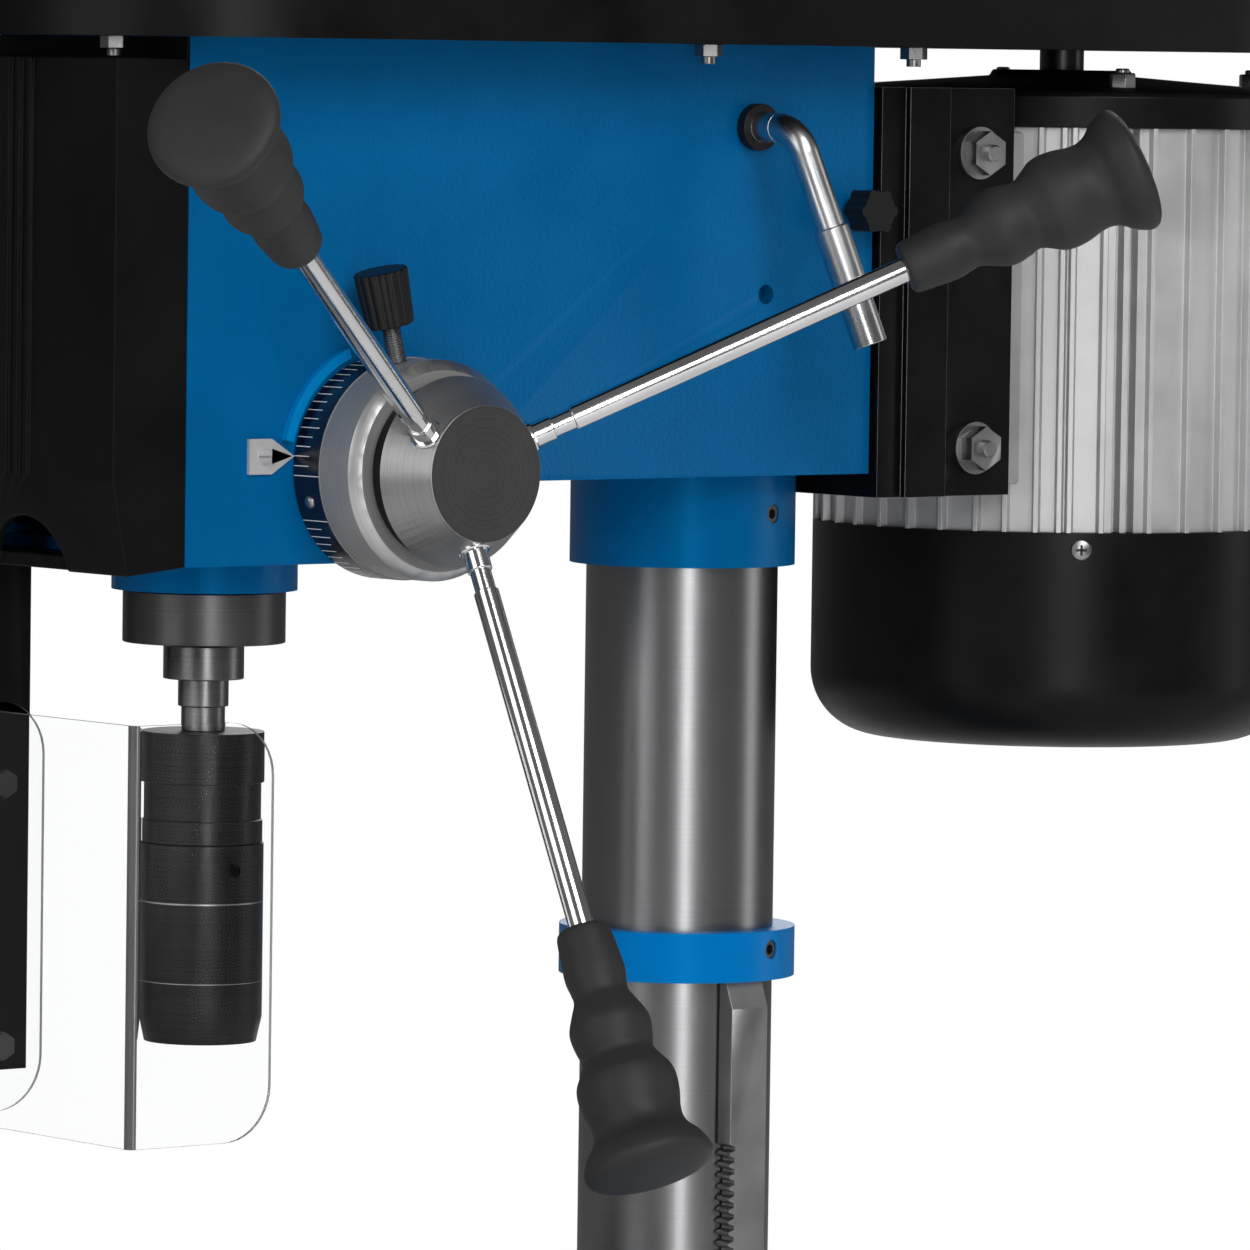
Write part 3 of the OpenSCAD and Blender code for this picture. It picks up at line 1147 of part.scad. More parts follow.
module chuck_arbor() color([0.6, 0.6, 0.6]) translate([0, sy, head_z]) {
  translate([0, 0, nose_z]) cylinder(r1 = taper_r0, r2 = taper_r1, h = taper_h);
  translate([0, 0, nose_z - neck_h]) cylinder(r = neck_d / 2, h = neck_h);
  translate([0, 0, chuck_top]) cylinder(r = arbor_d / 2, h = arbor_h);
  translate([0, 0, chuck_top - chuck_seat_h])
    cylinder(r1 = chuck_seat_r1, r2 = chuck_seat_r0, h = chuck_seat_h);
}
chuck_r = chuck_d / 2;
shoulder_h = 20.3;
shoulder_in = 1.2;
band_in = 0.6;
upper_h = 35.3;
band_h = 9.1;
sleeve_wall = 4.2;
core_r = chuck_r - sleeve_wall - 2 * run_gap;
chuck_bot = chuck_top - chuck_h;
jaw_r = 3.6;
jaw_l = 32;
jaw_lean = 11;
jaw_r0 = 4.4;
jaw_travel = 28;
jaw_gap = 0.1;
core_lift = 3;
mouth_r = 10;
module chuck_body() color([0.18, 0.18, 0.18]) translate([0, sy, head_z]) difference() {
  union() {
    translate([0, 0, chuck_top - shoulder_h]) cylinder(r = chuck_r, h = shoulder_h);
    translate([0, 0, chuck_top - upper_h]) cylinder(r = chuck_r - shoulder_in, h = upper_h - shoulder_h);
    translate([0, 0, chuck_top - upper_h - band_h]) cylinder(r = chuck_r - band_in, h = band_h);
    translate([0, 0, chuck_bot + core_lift]) cylinder(r = core_r, h = chuck_h - upper_h - core_lift);
  }
  translate([0, 0, chuck_top - chuck_seat_h])
    cylinder(r1 = chuck_seat_r1, r2 = chuck_seat_r0, h = chuck_seat_h);
  translate([0, 0, chuck_bot]) cylinder(r = mouth_r, h = jaw_travel);
  for (a = [0, 120, 240]) jaw_place(a) translate([0, 0, -jaw_l])
    cylinder(r = jaw_r + jaw_gap, h = 2 * jaw_l + jaw_travel + over);
}
module jaw_place(a)
  rotate([0, 0, a]) translate([jaw_r0, 0, chuck_bot]) rotate([0, jaw_lean, 0]) children();
module jaw(a) translate([0, sy, head_z]) jaw_place(a) cylinder(r = jaw_r, h = jaw_l);
module chuck_jaw_1() color([0.5, 0.5, 0.5]) jaw(0);
module chuck_jaw_2() color([0.5, 0.5, 0.5]) jaw(120);
module chuck_jaw_3() color([0.5, 0.5, 0.5]) jaw(240);
sleeve_len = chuck_h - upper_h - band_h - free_gap;
tip_h = 10;
tip_in = 2.2;
spanner_r = 3.2;
spanner_up = 9.8;
module chuck_sleeve() color([0.18, 0.18, 0.18]) translate([0, sy, head_z + chuck_bot]) difference() {
  union() {
    translate([0, 0, tip_h]) cylinder(r = chuck_r, h = sleeve_len - tip_h);
    cylinder(r1 = chuck_r - tip_in, r2 = chuck_r, h = tip_h);
  }
  translate([0, 0, -over]) cylinder(r = core_r + 2 * run_gap, h = sleeve_len + 2 * over);
  for (a = [115 : 120 : 360]) rotate([0, 0, a]) translate([core_r - over, 0, sleeve_len - spanner_up])
    xcyl(spanner_r, chuck_r);
}

// Hand feed
hub_x0 = head_x + head_boss_t + free_gap;
dial_l = 16.4;
ring_l = 18.4;
ring_chamfer = 4;
groove_l = 8.6;
hub_l = 19;
hub_sleeve_r = 30;
groove_r = 35;
cone_r = 38;
ring_x1 = hub_x0 + dial_l + ring_l + ring_chamfer;
cone_x0 = ring_x1 + free_gap + groove_l;
hub_x1 = cone_x0 + hub_l;
feed_hub_shaft_r = 12;
arm_back = 22;
arm_x = hub_x1 - arm_back;
// The thick journal starts beyond the quill's round
journal_x = sqrt(quill_r * quill_r - pow(feed_y - sy - feed_journal_r, 2)) + free_gap;
module feed_shaft() color([0.6, 0.6, 0.6]) translate([0, feed_y, feed_z]) {
  translate([-feed_half, 0, 0]) yz(2 * feed_half)
    rotate([0, 0, 180]) polygon(gear_pts(feed_m, feed_teeth, feed_add, feed_ded, feed_slack));
  translate([feed_half, 0, 0]) xcyl(feed_tail_r, journal_x - feed_half);
  translate([journal_x, 0, 0]) xcyl(feed_journal_r, head_x - journal_x);
  translate([head_x, 0, 0]) xcyl(feed_hub_shaft_r, hub_x1 - head_x - hub_l / 2);
  translate([-head_x - cap_h - free_gap, 0, 0]) xcyl(feed_tail_r, head_x + cap_h + free_gap - feed_half);
}
rod_in = 20;
neck_l = 9;
neck_cut = 0.8;
function arm_angles() = [rod_turn, rod_turn + 120, rod_turn + 240];
module arm_dir(b)
  translate([arm_x, feed_y, feed_z]) rotate([b, 0, 0]) rotate([0, 0, -rod_lean])
    rotate([-90, 0, 0]) children();
module feed_hub() color([0.6, 0.6, 0.6]) difference() {
  translate([0, feed_y, feed_z]) spin_x() polygon([
    [feed_hub_shaft_r, hub_x0], [hub_sleeve_r, hub_x0], [hub_sleeve_r, ring_x1 + free_gap],
    [groove_r, ring_x1 + free_gap], [groove_r, cone_x0], [cone_r, cone_x0],
    [hub_face_d / 2, hub_x1], [0, hub_x1], [0, hub_x1 - hub_l / 2], [feed_hub_shaft_r, hub_x1 - hub_l / 2]]);
  for (b = arm_angles()) arm_dir(b) translate([0, 0, rod_in]) cylinder(r = rod_d / 2, h = rod_l);
}
module feed_rods() color([0.75, 0.75, 0.75]) for (b = arm_angles()) arm_dir(b) difference() {
  translate([0, 0, rod_in]) cylinder(r = rod_d / 2, h = rod_l + grip_l * 0.6 - rod_in);
  translate([0, 0, rod_l * 0.22]) ring(rod_d, rod_d / 2 - neck_cut, neck_l);
}
// Outline of a grip: share of its length, share of its largest radius
grip_shares = [[0, 0.38], [0.02, 0.46], [0.07, 0.52], [0.12, 0.52], [0.17, 0.47], [0.22, 0.55],
  [0.28, 0.6], [0.33, 0.6], [0.38, 0.53], [0.44, 0.64], [0.5, 0.7], [0.55, 0.69], [0.6, 0.61],
  [0.66, 0.72], [0.72, 0.77], [0.77, 0.74], [0.81, 0.72], [0.86, 0.84], [0.91, 0.96], [0.945, 1],
  [0.975, 0.97], [0.99, 0.85], [1, 0.5]];
module feed_grips() color([0.15, 0.15, 0.15])
  for (b = arm_angles()) arm_dir(b) translate([0, 0, rod_l]) difference() {
  rotate_extrude() polygon(concat([[0, 0]],
    [for (p = grip_shares) [p[1] * grip_d / 2, p[0] * grip_l]], [[0, grip_l]]));
  translate([0, 0, -over]) cylinder(r = rod_d / 2, h = grip_l * 0.6 + over);
}
lock_a = 104;
lock_r = 3.8;
lock_out = 14.5;
lock_knob_r = 11;
lock_knob_h = 23;
lock_share = 0.32;
lock_x = hub_x0 + dial_l + ring_l * lock_share;
module lock_dir() translate([lock_x, feed_y, feed_z]) rotate([lock_a, 0, 0]) rotate([-90, 0, 0]) children();
module depth_ring() color([0.5, 0.5, 0.5]) difference() {
  translate([0, feed_y, feed_z]) spin_x() polygon([
    [hub_sleeve_r + run_gap, hub_x0], [dial_d / 2, hub_x0], [dial_d / 2, hub_x0 + dial_l],
    [ring_d / 2, hub_x0 + dial_l], [ring_d / 2, hub_x0 + dial_l + ring_l],
    [ring_d / 2 - ring_chamfer, ring_x1], [hub_sleeve_r + run_gap, ring_x1]]);
  lock_dir() translate([0, 0, hub_sleeve_r - over]) cylinder(r = lock_r + run_gap, h = ring_d);
}
module depth_lock_knob() color([0.07, 0.07, 0.07]) lock_dir() {
  translate([0, 0, hub_sleeve_r + 2 * run_gap])
    cylinder(r = lock_r, h = ring_d / 2 + lock_out - hub_sleeve_r);
  translate([0, 0, ring_d / 2 + lock_out]) {
    cylinder(r = lock_knob_r * 0.92, h = lock_knob_h);
    for (a = [0 : 36 : 359]) rotate([0, 0, a]) translate([lock_knob_r * 0.9, 0, 0])
      cylinder(r = lock_knob_r / 8, h = lock_knob_h);
  }
}

// Chuck guard
guard_drop = 53;
guard_front = 84;
guard_top = head_z - guard_drop;
guard_y0 = sy - guard_front;
guard_pivot_front = 49.5;
guard_side = 20.5;
guard_pivot_up = 24;
guard_arm_t = 4;
guard_arm_w = 28;
guard_pivot_y = sy - guard_pivot_front;
guard_pivot_z = head_z + guard_pivot_up;
guard_pin_r = 5;
guard_out = guard_w / 2;
guard_screw_shares = [0.2, 0.84];
module guard_arm() color([0.06, 0.06, 0.06]) difference() {
  union() {
    translate([-guard_out - guard_arm_t, guard_pivot_y - guard_arm_w / 2, guard_top - guard_h * 0.9])
      cube([guard_arm_t, guard_arm_w, guard_pivot_z - guard_top + guard_h * 0.9]);
    translate([-guard_out - guard_arm_t, guard_pivot_y, guard_pivot_z]) xcyl(guard_arm_w / 2, guard_arm_t);
    translate([-guard_out, guard_pivot_y, guard_pivot_z])
      xcyl(guard_arm_w / 2, guard_out - head_x - free_gap);
    translate([-guard_out - guard_arm_t - guard_pin_r, guard_pivot_y, guard_pivot_z])
      rotate([0, 90, 0]) hex(3 * guard_pin_r, guard_pin_r);
    translate([-guard_out, guard_pivot_y, guard_pivot_z])
      xcyl(guard_pin_r, guard_out - head_x + head_wall * 0.8);
  }
  for (s = guard_screw_shares)
    translate([-guard_out - 2 * guard_arm_t, guard_pivot_y, guard_top - s * guard_h])
      xcyl(guard_bolt_r, 4 * guard_arm_t);
}
guard_bolt_r = 3;
module guard_shield() color([0.85, 0.9, 0.92, 0.4]) difference() {
  translate([-guard_out, guard_y0, guard_top - guard_h]) cube([guard_w, guard_l, guard_h]);
  translate([-guard_out + guard_t, guard_y0 + guard_t, guard_top - guard_h - over])
    cube([guard_w - 2 * guard_t, guard_l, guard_h + 2 * over]);
  // The side with the arm is shorter
  translate([-guard_out - over, guard_pivot_y + guard_side, guard_top - guard_h - over])
    cube([guard_t + 2 * over, guard_l, guard_h + 2 * over]);
  for (s = guard_screw_shares) translate([-guard_out - over, guard_pivot_y, guard_top - s * guard_h])
    xcyl(guard_bolt_r, guard_t + 2 * over);
}
module guard_screws() color([0.15, 0.15, 0.15]) for (s = guard_screw_shares)
  translate([-guard_out - guard_arm_t, guard_pivot_y, guard_top - s * guard_h]) {
    xcyl(guard_bolt_r, guard_arm_t + guard_t + guard_bolt_r);
    translate([-guard_bolt_r, 0, 0]) xcyl(2 * guard_bolt_r, guard_bolt_r);
    translate([guard_arm_t + guard_t, 0, 0]) rotate([0, 90, 0]) hex(3.4 * guard_bolt_r, guard_bolt_r);
  }

base();
column_foot();
hex_bolts();
column();
rack_collar();
set_screws();
head_casting();
front_cover();
switch_box();
start_button();
stop_button();
belt_cover_tray();
belt_cover_lid();
depth_pointer();
return_spring_cap();
return_spring();
head_bearings();
drive_sleeve();
spindle_pulley();
idler_arm();
idler_pulley();
spindle_belt();
motor_belt();
motor_pulley();
motor_rotor();
motor_housing();
motor_top_cover();
motor_bell();
motor_bracket();
motor_bolts();
slide_bars();
tension_lever();
slide_lock_knob();
quill();
quill_bearings();
quill_collar();
spindle();
chuck_arbor();
chuck_body();
chuck_sleeve();
chuck_jaw_1();
chuck_jaw_2();
chuck_jaw_3();
feed_shaft();
feed_hub();
feed_rods();
feed_grips();
depth_ring();
depth_lock_knob();
guard_arm();
guard_shield();
guard_screws();
rack();
table_bracket();
crank_shaft();
crank_arm();
crank_grip();
table_lock_lever();
table();
tilt_bolt();
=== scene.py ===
# Looks of the bench drilling machine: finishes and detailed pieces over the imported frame.
import json
import math

import bmesh
import bpy
from mathutils import Matrix, Vector


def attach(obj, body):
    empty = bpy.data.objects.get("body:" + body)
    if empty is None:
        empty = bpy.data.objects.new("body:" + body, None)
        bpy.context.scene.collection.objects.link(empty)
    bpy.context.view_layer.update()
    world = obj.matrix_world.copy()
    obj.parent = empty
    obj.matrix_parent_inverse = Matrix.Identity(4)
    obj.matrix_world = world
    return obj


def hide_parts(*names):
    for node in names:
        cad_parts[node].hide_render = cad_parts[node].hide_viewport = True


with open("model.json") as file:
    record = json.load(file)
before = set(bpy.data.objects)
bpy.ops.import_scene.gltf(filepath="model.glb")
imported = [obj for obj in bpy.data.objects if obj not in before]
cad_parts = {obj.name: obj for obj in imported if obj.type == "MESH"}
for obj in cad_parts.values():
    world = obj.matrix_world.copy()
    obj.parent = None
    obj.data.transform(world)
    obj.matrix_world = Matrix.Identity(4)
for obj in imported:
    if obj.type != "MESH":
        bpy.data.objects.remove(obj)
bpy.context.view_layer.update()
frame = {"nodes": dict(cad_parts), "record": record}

bl_info = {
    "name": "Bench drill looks",
    "version": (1, 0, 0),
    "blender": (4, 5, 0),
    "location": "3D View > Sidebar > Drill",
    "description": "Finishes and detailed pieces for the bench drilling machine",
    "category": "Object",
}

MM = 0.001
TURN = 2 * math.pi

# Main axes of the machine, in metres
SPINDLE = Vector((0, -0.246, 0))
MOTOR = Vector((0, 0.206, 0))
FEED = Vector((0, -0.207, 0.746))

# Feed hub, in mm and degrees
ARM_X = 110.8
ROD_LEAN = 28.4
ROD_TURNS = (28.1, 148.1, 268.1)
ROD_L = 197.0
GRIP_L = 103.6
GRIP_R = 25.5
GRIP_SHARES = (
    (0, 0.38), (0.02, 0.42), (0.1, 0.45), (0.18, 0.47), (0.23, 0.44), (0.27, 0.43), (0.32, 0.52),
    (0.37, 0.61), (0.41, 0.63), (0.46, 0.6), (0.51, 0.56), (0.56, 0.66), (0.6, 0.75),
    (0.65, 0.775), (0.7, 0.755), (0.75, 0.71), (0.79, 0.7), (0.83, 0.75), (0.87, 0.88),
    (0.9, 0.95), (0.925, 0.99), (0.945, 1.0), (0.965, 0.96), (0.982, 0.84), (0.993, 0.64),
    (1.0, 0.3))
HUB_FACE_X = 132.7
# Faces in the hub's groove are coloured near black: painted shade in the groove
HUB_GROOVE_SHADE_X = (104, 113.7)
HUB_GROOVE_SHADE_R = 37.9
# Band round the head's rim that gets a lighter blue: a painted highlight along the rim
HEAD_RIM_HIGHLIGHT_X = 65.2
HEAD_RIM_HIGHLIGHT_R = (46, 52)
ROD_SEAT = ((0, 31.0), (6.4, 31.0), (6.4, 34.8), (5.9, 35.4), (0, 35.4))

# Scale drum and depth ring, in mm and degrees
DRUM_R = 44.3
DRUM_X = (66.0, 82.4)
DRUM_INNER_R = 30
RING_CHAMFER_X = 101
SCALE_START = 183.3
SCALE_GAP = 24.0
SCALE_TICKS = 67
TICK_LENGTH = 9.4
FIFTH_TICK_LENGTH = 12.2
END_TICK_LENGTH = 16.0
TICK_WIDTH = 0.34
TICK_DEPTH = 0.12
SCALE_SCREW = ((2.6, -0.4), (2.6, 0.3), (2.3, 0.9), (1.5, 1.4), (0, 1.6))
SCALE_SCREW_TURN = SCALE_START + 13.5
SCALE_SCREW_X = 74.6

# Lock knob of the depth ring, in mm and degrees, with heights out from the feed axis
LOCK_TURN = 104.0
LOCK_X = 88.29
THREAD_START = 36.0
THREAD_RINGS = 24
THREAD_CREST_R = 3.9
THREAD_ROOT_R = 3.35
LOCK_STEM_R = 3.3
LOCK_STEM_TOP = 60.2
CAP_FOOT_R = 9.6
CAP_TOP_R = 10.9
CAP_H = 22.4
CAP_MIDDLE = 69.9
CAP_FLUTES = 16
CAP_FLUTE_SHARE = 0.075

# Chuck, in mm: radius, lower and upper height of the bright lines round its sleeve
SLEEVE_LINES = ((24.74, 569.7, 570.3), (24.72, 537.9, 538.2))
SLEEVE_LINE_INNER_R = 24.2

# Motor, in mm and degrees
MOTOR_R = 104.0
FIN_ROOT_R = 100.6
SEAM_R = 94.0
FIN_ROOT_TURN = 0.95
FIN_TIP_TURN = 0.6
HOUSING_Z = (713, 883)
RIB_TURNS = (
    -45.7, -40.3, -37.9, -30.4, -18.7, -8.7, 1.1, 10.2, 19.5, 29.0, 38.5, 48.0, 58.0, 68.0, 78.0,
    88.0, 98.0, 108.0, 118.0, 128.0, 138.0, 148.0, 158.0, 168.0, 178.0, 188.0, 198.0, 208.0,
    218.0, 228.0, 237.0, 246.0, 255.0, 264.0, 273.0, 282.0, 291.0, 300.0, 307.0)
SEAM_TURNS = (-26.5, -23.0)
COVER_SHIELD = ((9.6, 883), (104, 883), (104, 896), (102.5, 898), (96, 899.6), (62, 902),
                (31, 904.4), (29.5, 907), (9.6, 907))

# Screws of the motor: turned outlines in mm, turns in degrees, places in metres
BOLT_END = ((3.6, -1.0), (3.6, 2.4), (2.9, 3.2), (0, 3.2))
BOLT_END_Y = 0.100
BOLT_END_HEIGHTS = (749, 872)
STUD_END = ((3.0, 4.0), (3.0, 7.6), (2.4, 8.2), (0, 8.2))
NUT_TURNS = (-24, 66, 156)
NUT_OUT = 0.086
NUT_FOOT = 0.8998
NUT_FLATS = 10 * MM
NUT_H = 6.4 * MM
BELL_SCREW = ((4.6, -0.6), (4.6, 0.6), (4.0, 1.4), (2.4, 2.0), (0, 2.2))
BELL_SCREW_TURNS = (-35, 85, 205)
BELL_SCREW_Z = 0.706
BELL_SCREW_OUT = 0.1036
# The slots are thin near-black boxes on the screw heads: painted shade where the slots are
SCREW_SLOT = (4.4, 1.0)
SCREW_SLOT_DEPTH = 0.3
SCREW_SLOT_OUT = 2.12

# Blocks, as two corners in metres
COVER_FLANGE = ((-0.065, -0.3045, 0.904), (0.065, -0.30305, 0.9152))
MOTOR_FEET = ((-0.0645, 0.091, 0.733), (0.0645, 0.18, 0.881))

# Clear guard, in mm: the fold centres stand at GUARD_FRONT_Y
GUARD_HALF = 70
GUARD_WALL = 2
GUARD_FOLD_R = 4
GUARD_FRONT_Y = -326
GUARD_RIGHT_Y = -262
GUARD_LEFT_Y = -275
GUARD_Z = (481, 647)
GUARD_CORNER_R = 22

# Tension lever's black washer, and the mark on the pointer's plate, in mm
WASHER_X = (65, 70.6)
WASHER_FACE_X = 70.2
WASHER_HOLE_R = 6.4
LEVER_Y = -18
LEVER_Z = 882
POINTER_MARK = ((-262.4, 754.0), (-252.6, 751.0), (-262.4, 748.0))
POINTER_MARK_X = 66.66
POINTER_MARK_T = 0.08

# Stage, in metres and watts: each lamp's name, place, size and power
FLOOR_HALF = 2.4
FLOOR_FADE = (0.5, 1.7)
AMBIENT = 0.13
LAMP_TARGET = (0.0, 0.0, 0.75)
LAMPS = (
    ("key", (2.9, -0.6, 2.6), (1.6, 1.6), 52),
    ("strip", (2.3, -1.35, 0.9), (0.35, 2.2), 22),
    ("fill", (0.3, -2.8, 1.5), (1.4, 2.0), 19),
    ("rim", (-1.6, 1.8, 1.9), (1.4, 1.4), 32),
    ("side", (1.6, 2.4, 1.0), (0.8, 2.0), 8),
)
LENS = 266.631
CAMERA_PLACE = (2.994594, -2.428023, 0.908646)


# Sizes and colours that a user would change
class DrillSizes(bpy.types.PropertyGroup):
    casting_edge: bpy.props.FloatProperty(
        name="Casting edge", description="Rounding of cast edges",
        default=2.6 * MM, min=0.0, unit="LENGTH")
    sheet_edge: bpy.props.FloatProperty(
        name="Sheet edge", description="Rounding of pressed sheet edges",
        default=1.0 * MM, min=0.0, unit="LENGTH")
    turned_edge: bpy.props.FloatProperty(
        name="Turned edge", description="Chamfer on turned edges",
        default=0.45 * MM, min=0.0, unit="LENGTH")
    grip_segments: bpy.props.IntProperty(
        name="Grip segments", description="Faces round one feed grip", default=48, min=12)


class DrillColours(bpy.types.PropertyGroup):
    paint: bpy.props.FloatVectorProperty(
        name="Paint", description="Blue paint of the castings",
        default=(0.0, 0.098, 0.27), size=3, subtype="COLOR", min=0, max=1)
    collar: bpy.props.FloatVectorProperty(
        name="Collar paint", description="Brighter blue of the rack collar",
        default=(0.0, 0.16, 0.47), size=3, subtype="COLOR", min=0, max=1)
    black: bpy.props.FloatVectorProperty(
        name="Black", description="Black powder coat",
        default=(0.0035, 0.0035, 0.0035), size=3, subtype="COLOR", min=0, max=1)
    drum: bpy.props.FloatVectorProperty(
        name="Scale drum", description="Dark blue of the scale drum",
        default=(0.003, 0.003, 0.012), size=3, subtype="COLOR", min=0, max=1)
    rubber: bpy.props.FloatVectorProperty(
        name="Rubber", description="Grey rubber of the feed grips",
        default=(0.021, 0.021, 0.021), size=3, subtype="COLOR", min=0, max=1)
    aluminium: bpy.props.FloatVectorProperty(
        name="Aluminium", description="Motor housing",
        default=(0.52, 0.52, 0.525), size=3, subtype="COLOR", min=0, max=1)


# Materials

def principled(name, colour, metallic, rough, **sockets):
    """A new node material; returns the material, its tree and the shader node."""
    mat = bpy.data.materials.new(name)
    mat.use_nodes = True
    tree = mat.node_tree
    shader = tree.nodes["Principled BSDF"]
    shader.inputs["Base Color"].default_value = (*colour, 1.0)
    shader.inputs["Metallic"].default_value = metallic
    shader.inputs["Roughness"].default_value = rough
    for key, value in sockets.items():
        shader.inputs[key.replace("_", " ")].default_value = value
    return mat, tree, shader


def add(tree, kind, **values):
    """A new node with some of its settings or sockets filled in."""
    node = tree.nodes.new(kind)
    for key, value in values.items():
        if hasattr(node, key):
            setattr(node, key, value)
        else:
            node.inputs[key.replace("_", " ")].default_value = value
    return node


def scaled_coords(tree, scale=(1, 1, 1), centre=(0, 0, 0)):
    """Object coordinates moved to a centre and scaled, in metres."""
    coords = add(tree, "ShaderNodeTexCoord")
    place = add(tree, "ShaderNodeMapping")
    place.inputs["Scale"].default_value = scale
    place.inputs["Location"].default_value = [-c * s for c, s in zip(centre, scale)]
    tree.links.new(coords.outputs["Object"], place.inputs["Vector"])
    return place.outputs["Vector"]


def round_coords(tree, axis, centre, along, across):
    """Coordinates that follow turning marks: distance along an axis and distance from it."""
    flat = scaled_coords(tree, (1, 1, 1), centre)
    parts = add(tree, "ShaderNodeSeparateXYZ")
    tree.links.new(flat, parts.inputs[0])
    ring = add(tree, "ShaderNodeCombineXYZ")
    others = [a for a in "XYZ" if a != axis]
    for i, a in enumerate(others):
        tree.links.new(parts.outputs[a], ring.inputs[i])
    radius = add(tree, "ShaderNodeVectorMath", operation="LENGTH")
    tree.links.new(ring.outputs[0], radius.inputs[0])
    out = add(tree, "ShaderNodeCombineXYZ")
    for source, scale, i in ((parts.outputs[axis], along, 0),
                             (radius.outputs["Value"], across, 1)):
        times = add(tree, "ShaderNodeMath", operation="MULTIPLY")
        times.inputs[1].default_value = scale
        tree.links.new(source, times.inputs[0])
        tree.links.new(times.outputs[0], out.inputs[i])
    return out.outputs[0]


def noise(tree, vector, scale, detail, rough):
    """The grey value of a noise texture."""
    node = add(tree, "ShaderNodeTexNoise")
    node.inputs["Scale"].default_value = scale
    node.inputs["Detail"].default_value = detail
    node.inputs["Roughness"].default_value = rough
    tree.links.new(vector, node.inputs["Vector"])
    return node.outputs["Fac"]


def to_range(tree, value, low, high, from_low=0.3, from_high=0.7):
    """Maps a value from one range to another."""
    node = add(tree, "ShaderNodeMapRange")
    node.inputs["From Min"].default_value = from_low
    node.inputs["From Max"].default_value = from_high
    node.inputs["To Min"].default_value = low
    node.inputs["To Max"].default_value = high
    tree.links.new(value, node.inputs["Value"])
    return node.outputs["Result"]


def tint(tree, shader, value, colour, low, high):
    """Varies the base colour between two shares of itself."""
    mix = add(tree, "ShaderNodeMix", data_type="RGBA")
    mix.inputs["A"].default_value = (*[c * low for c in colour], 1)
    mix.inputs["B"].default_value = (*[min(1, c * high) for c in colour], 1)
    fac = to_range(tree, value, 0, 1)
    tree.links.new(fac, mix.inputs["Factor"])
    tree.links.new(mix.outputs["Result"], shader.inputs["Base Color"])


def bump(tree, shader, value, distance):
    """Raises the surface by a value, over a distance in metres."""
    node = add(tree, "ShaderNodeBump")
    node.inputs["Strength"].default_value = 1.0
    node.inputs["Distance"].default_value = distance
    tree.links.new(value, node.inputs["Height"])
    tree.links.new(node.outputs["Normal"], shader.inputs["Normal"])


def grain(name, colour, metallic, rough, size, depth, vary=(0.9, 1.1), spread=0.06,
          centre=(0, 0, 0), stretch=(1, 1, 1), **sockets):
    """A finish with fine grain, slow colour variation and uneven gloss."""
    mat, tree, shader = principled(name, colour, metallic, rough, **sockets)
    coords = scaled_coords(tree, stretch, centre)
    fine = noise(tree, coords, 1 / size, 3.0, 0.55)
    slow = noise(tree, scaled_coords(tree), 22.0, 3.0, 0.6)
    tint(tree, shader, slow, colour, *vary)
    uneven = to_range(tree, slow, max(0.02, rough - spread), rough + spread)
    tree.links.new(uneven, shader.inputs["Roughness"])
    bump(tree, shader, fine, depth)
    return mat


def turned(name, colour, rough, axis, centre, along=1800.0, across=1800.0, depth=0.00004,
           vary=(0.82, 1.12), metallic=1.0, spread=0.07):
    """Turned metal with fine rings round an axis."""
    mat, tree, shader = principled(name, colour, metallic, rough)
    rings = noise(tree, round_coords(tree, axis, centre, along, across), 1.0, 3.0, 0.6)
    slow = noise(tree, scaled_coords(tree), 30.0, 3.0, 0.6)
    tint(tree, shader, rings, colour, *vary)
    uneven = to_range(tree, slow, max(0.05, rough - spread), rough + spread)
    tree.links.new(uneven, shader.inputs["Roughness"])
    bump(tree, shader, rings, depth)
    return mat


MATS = {}


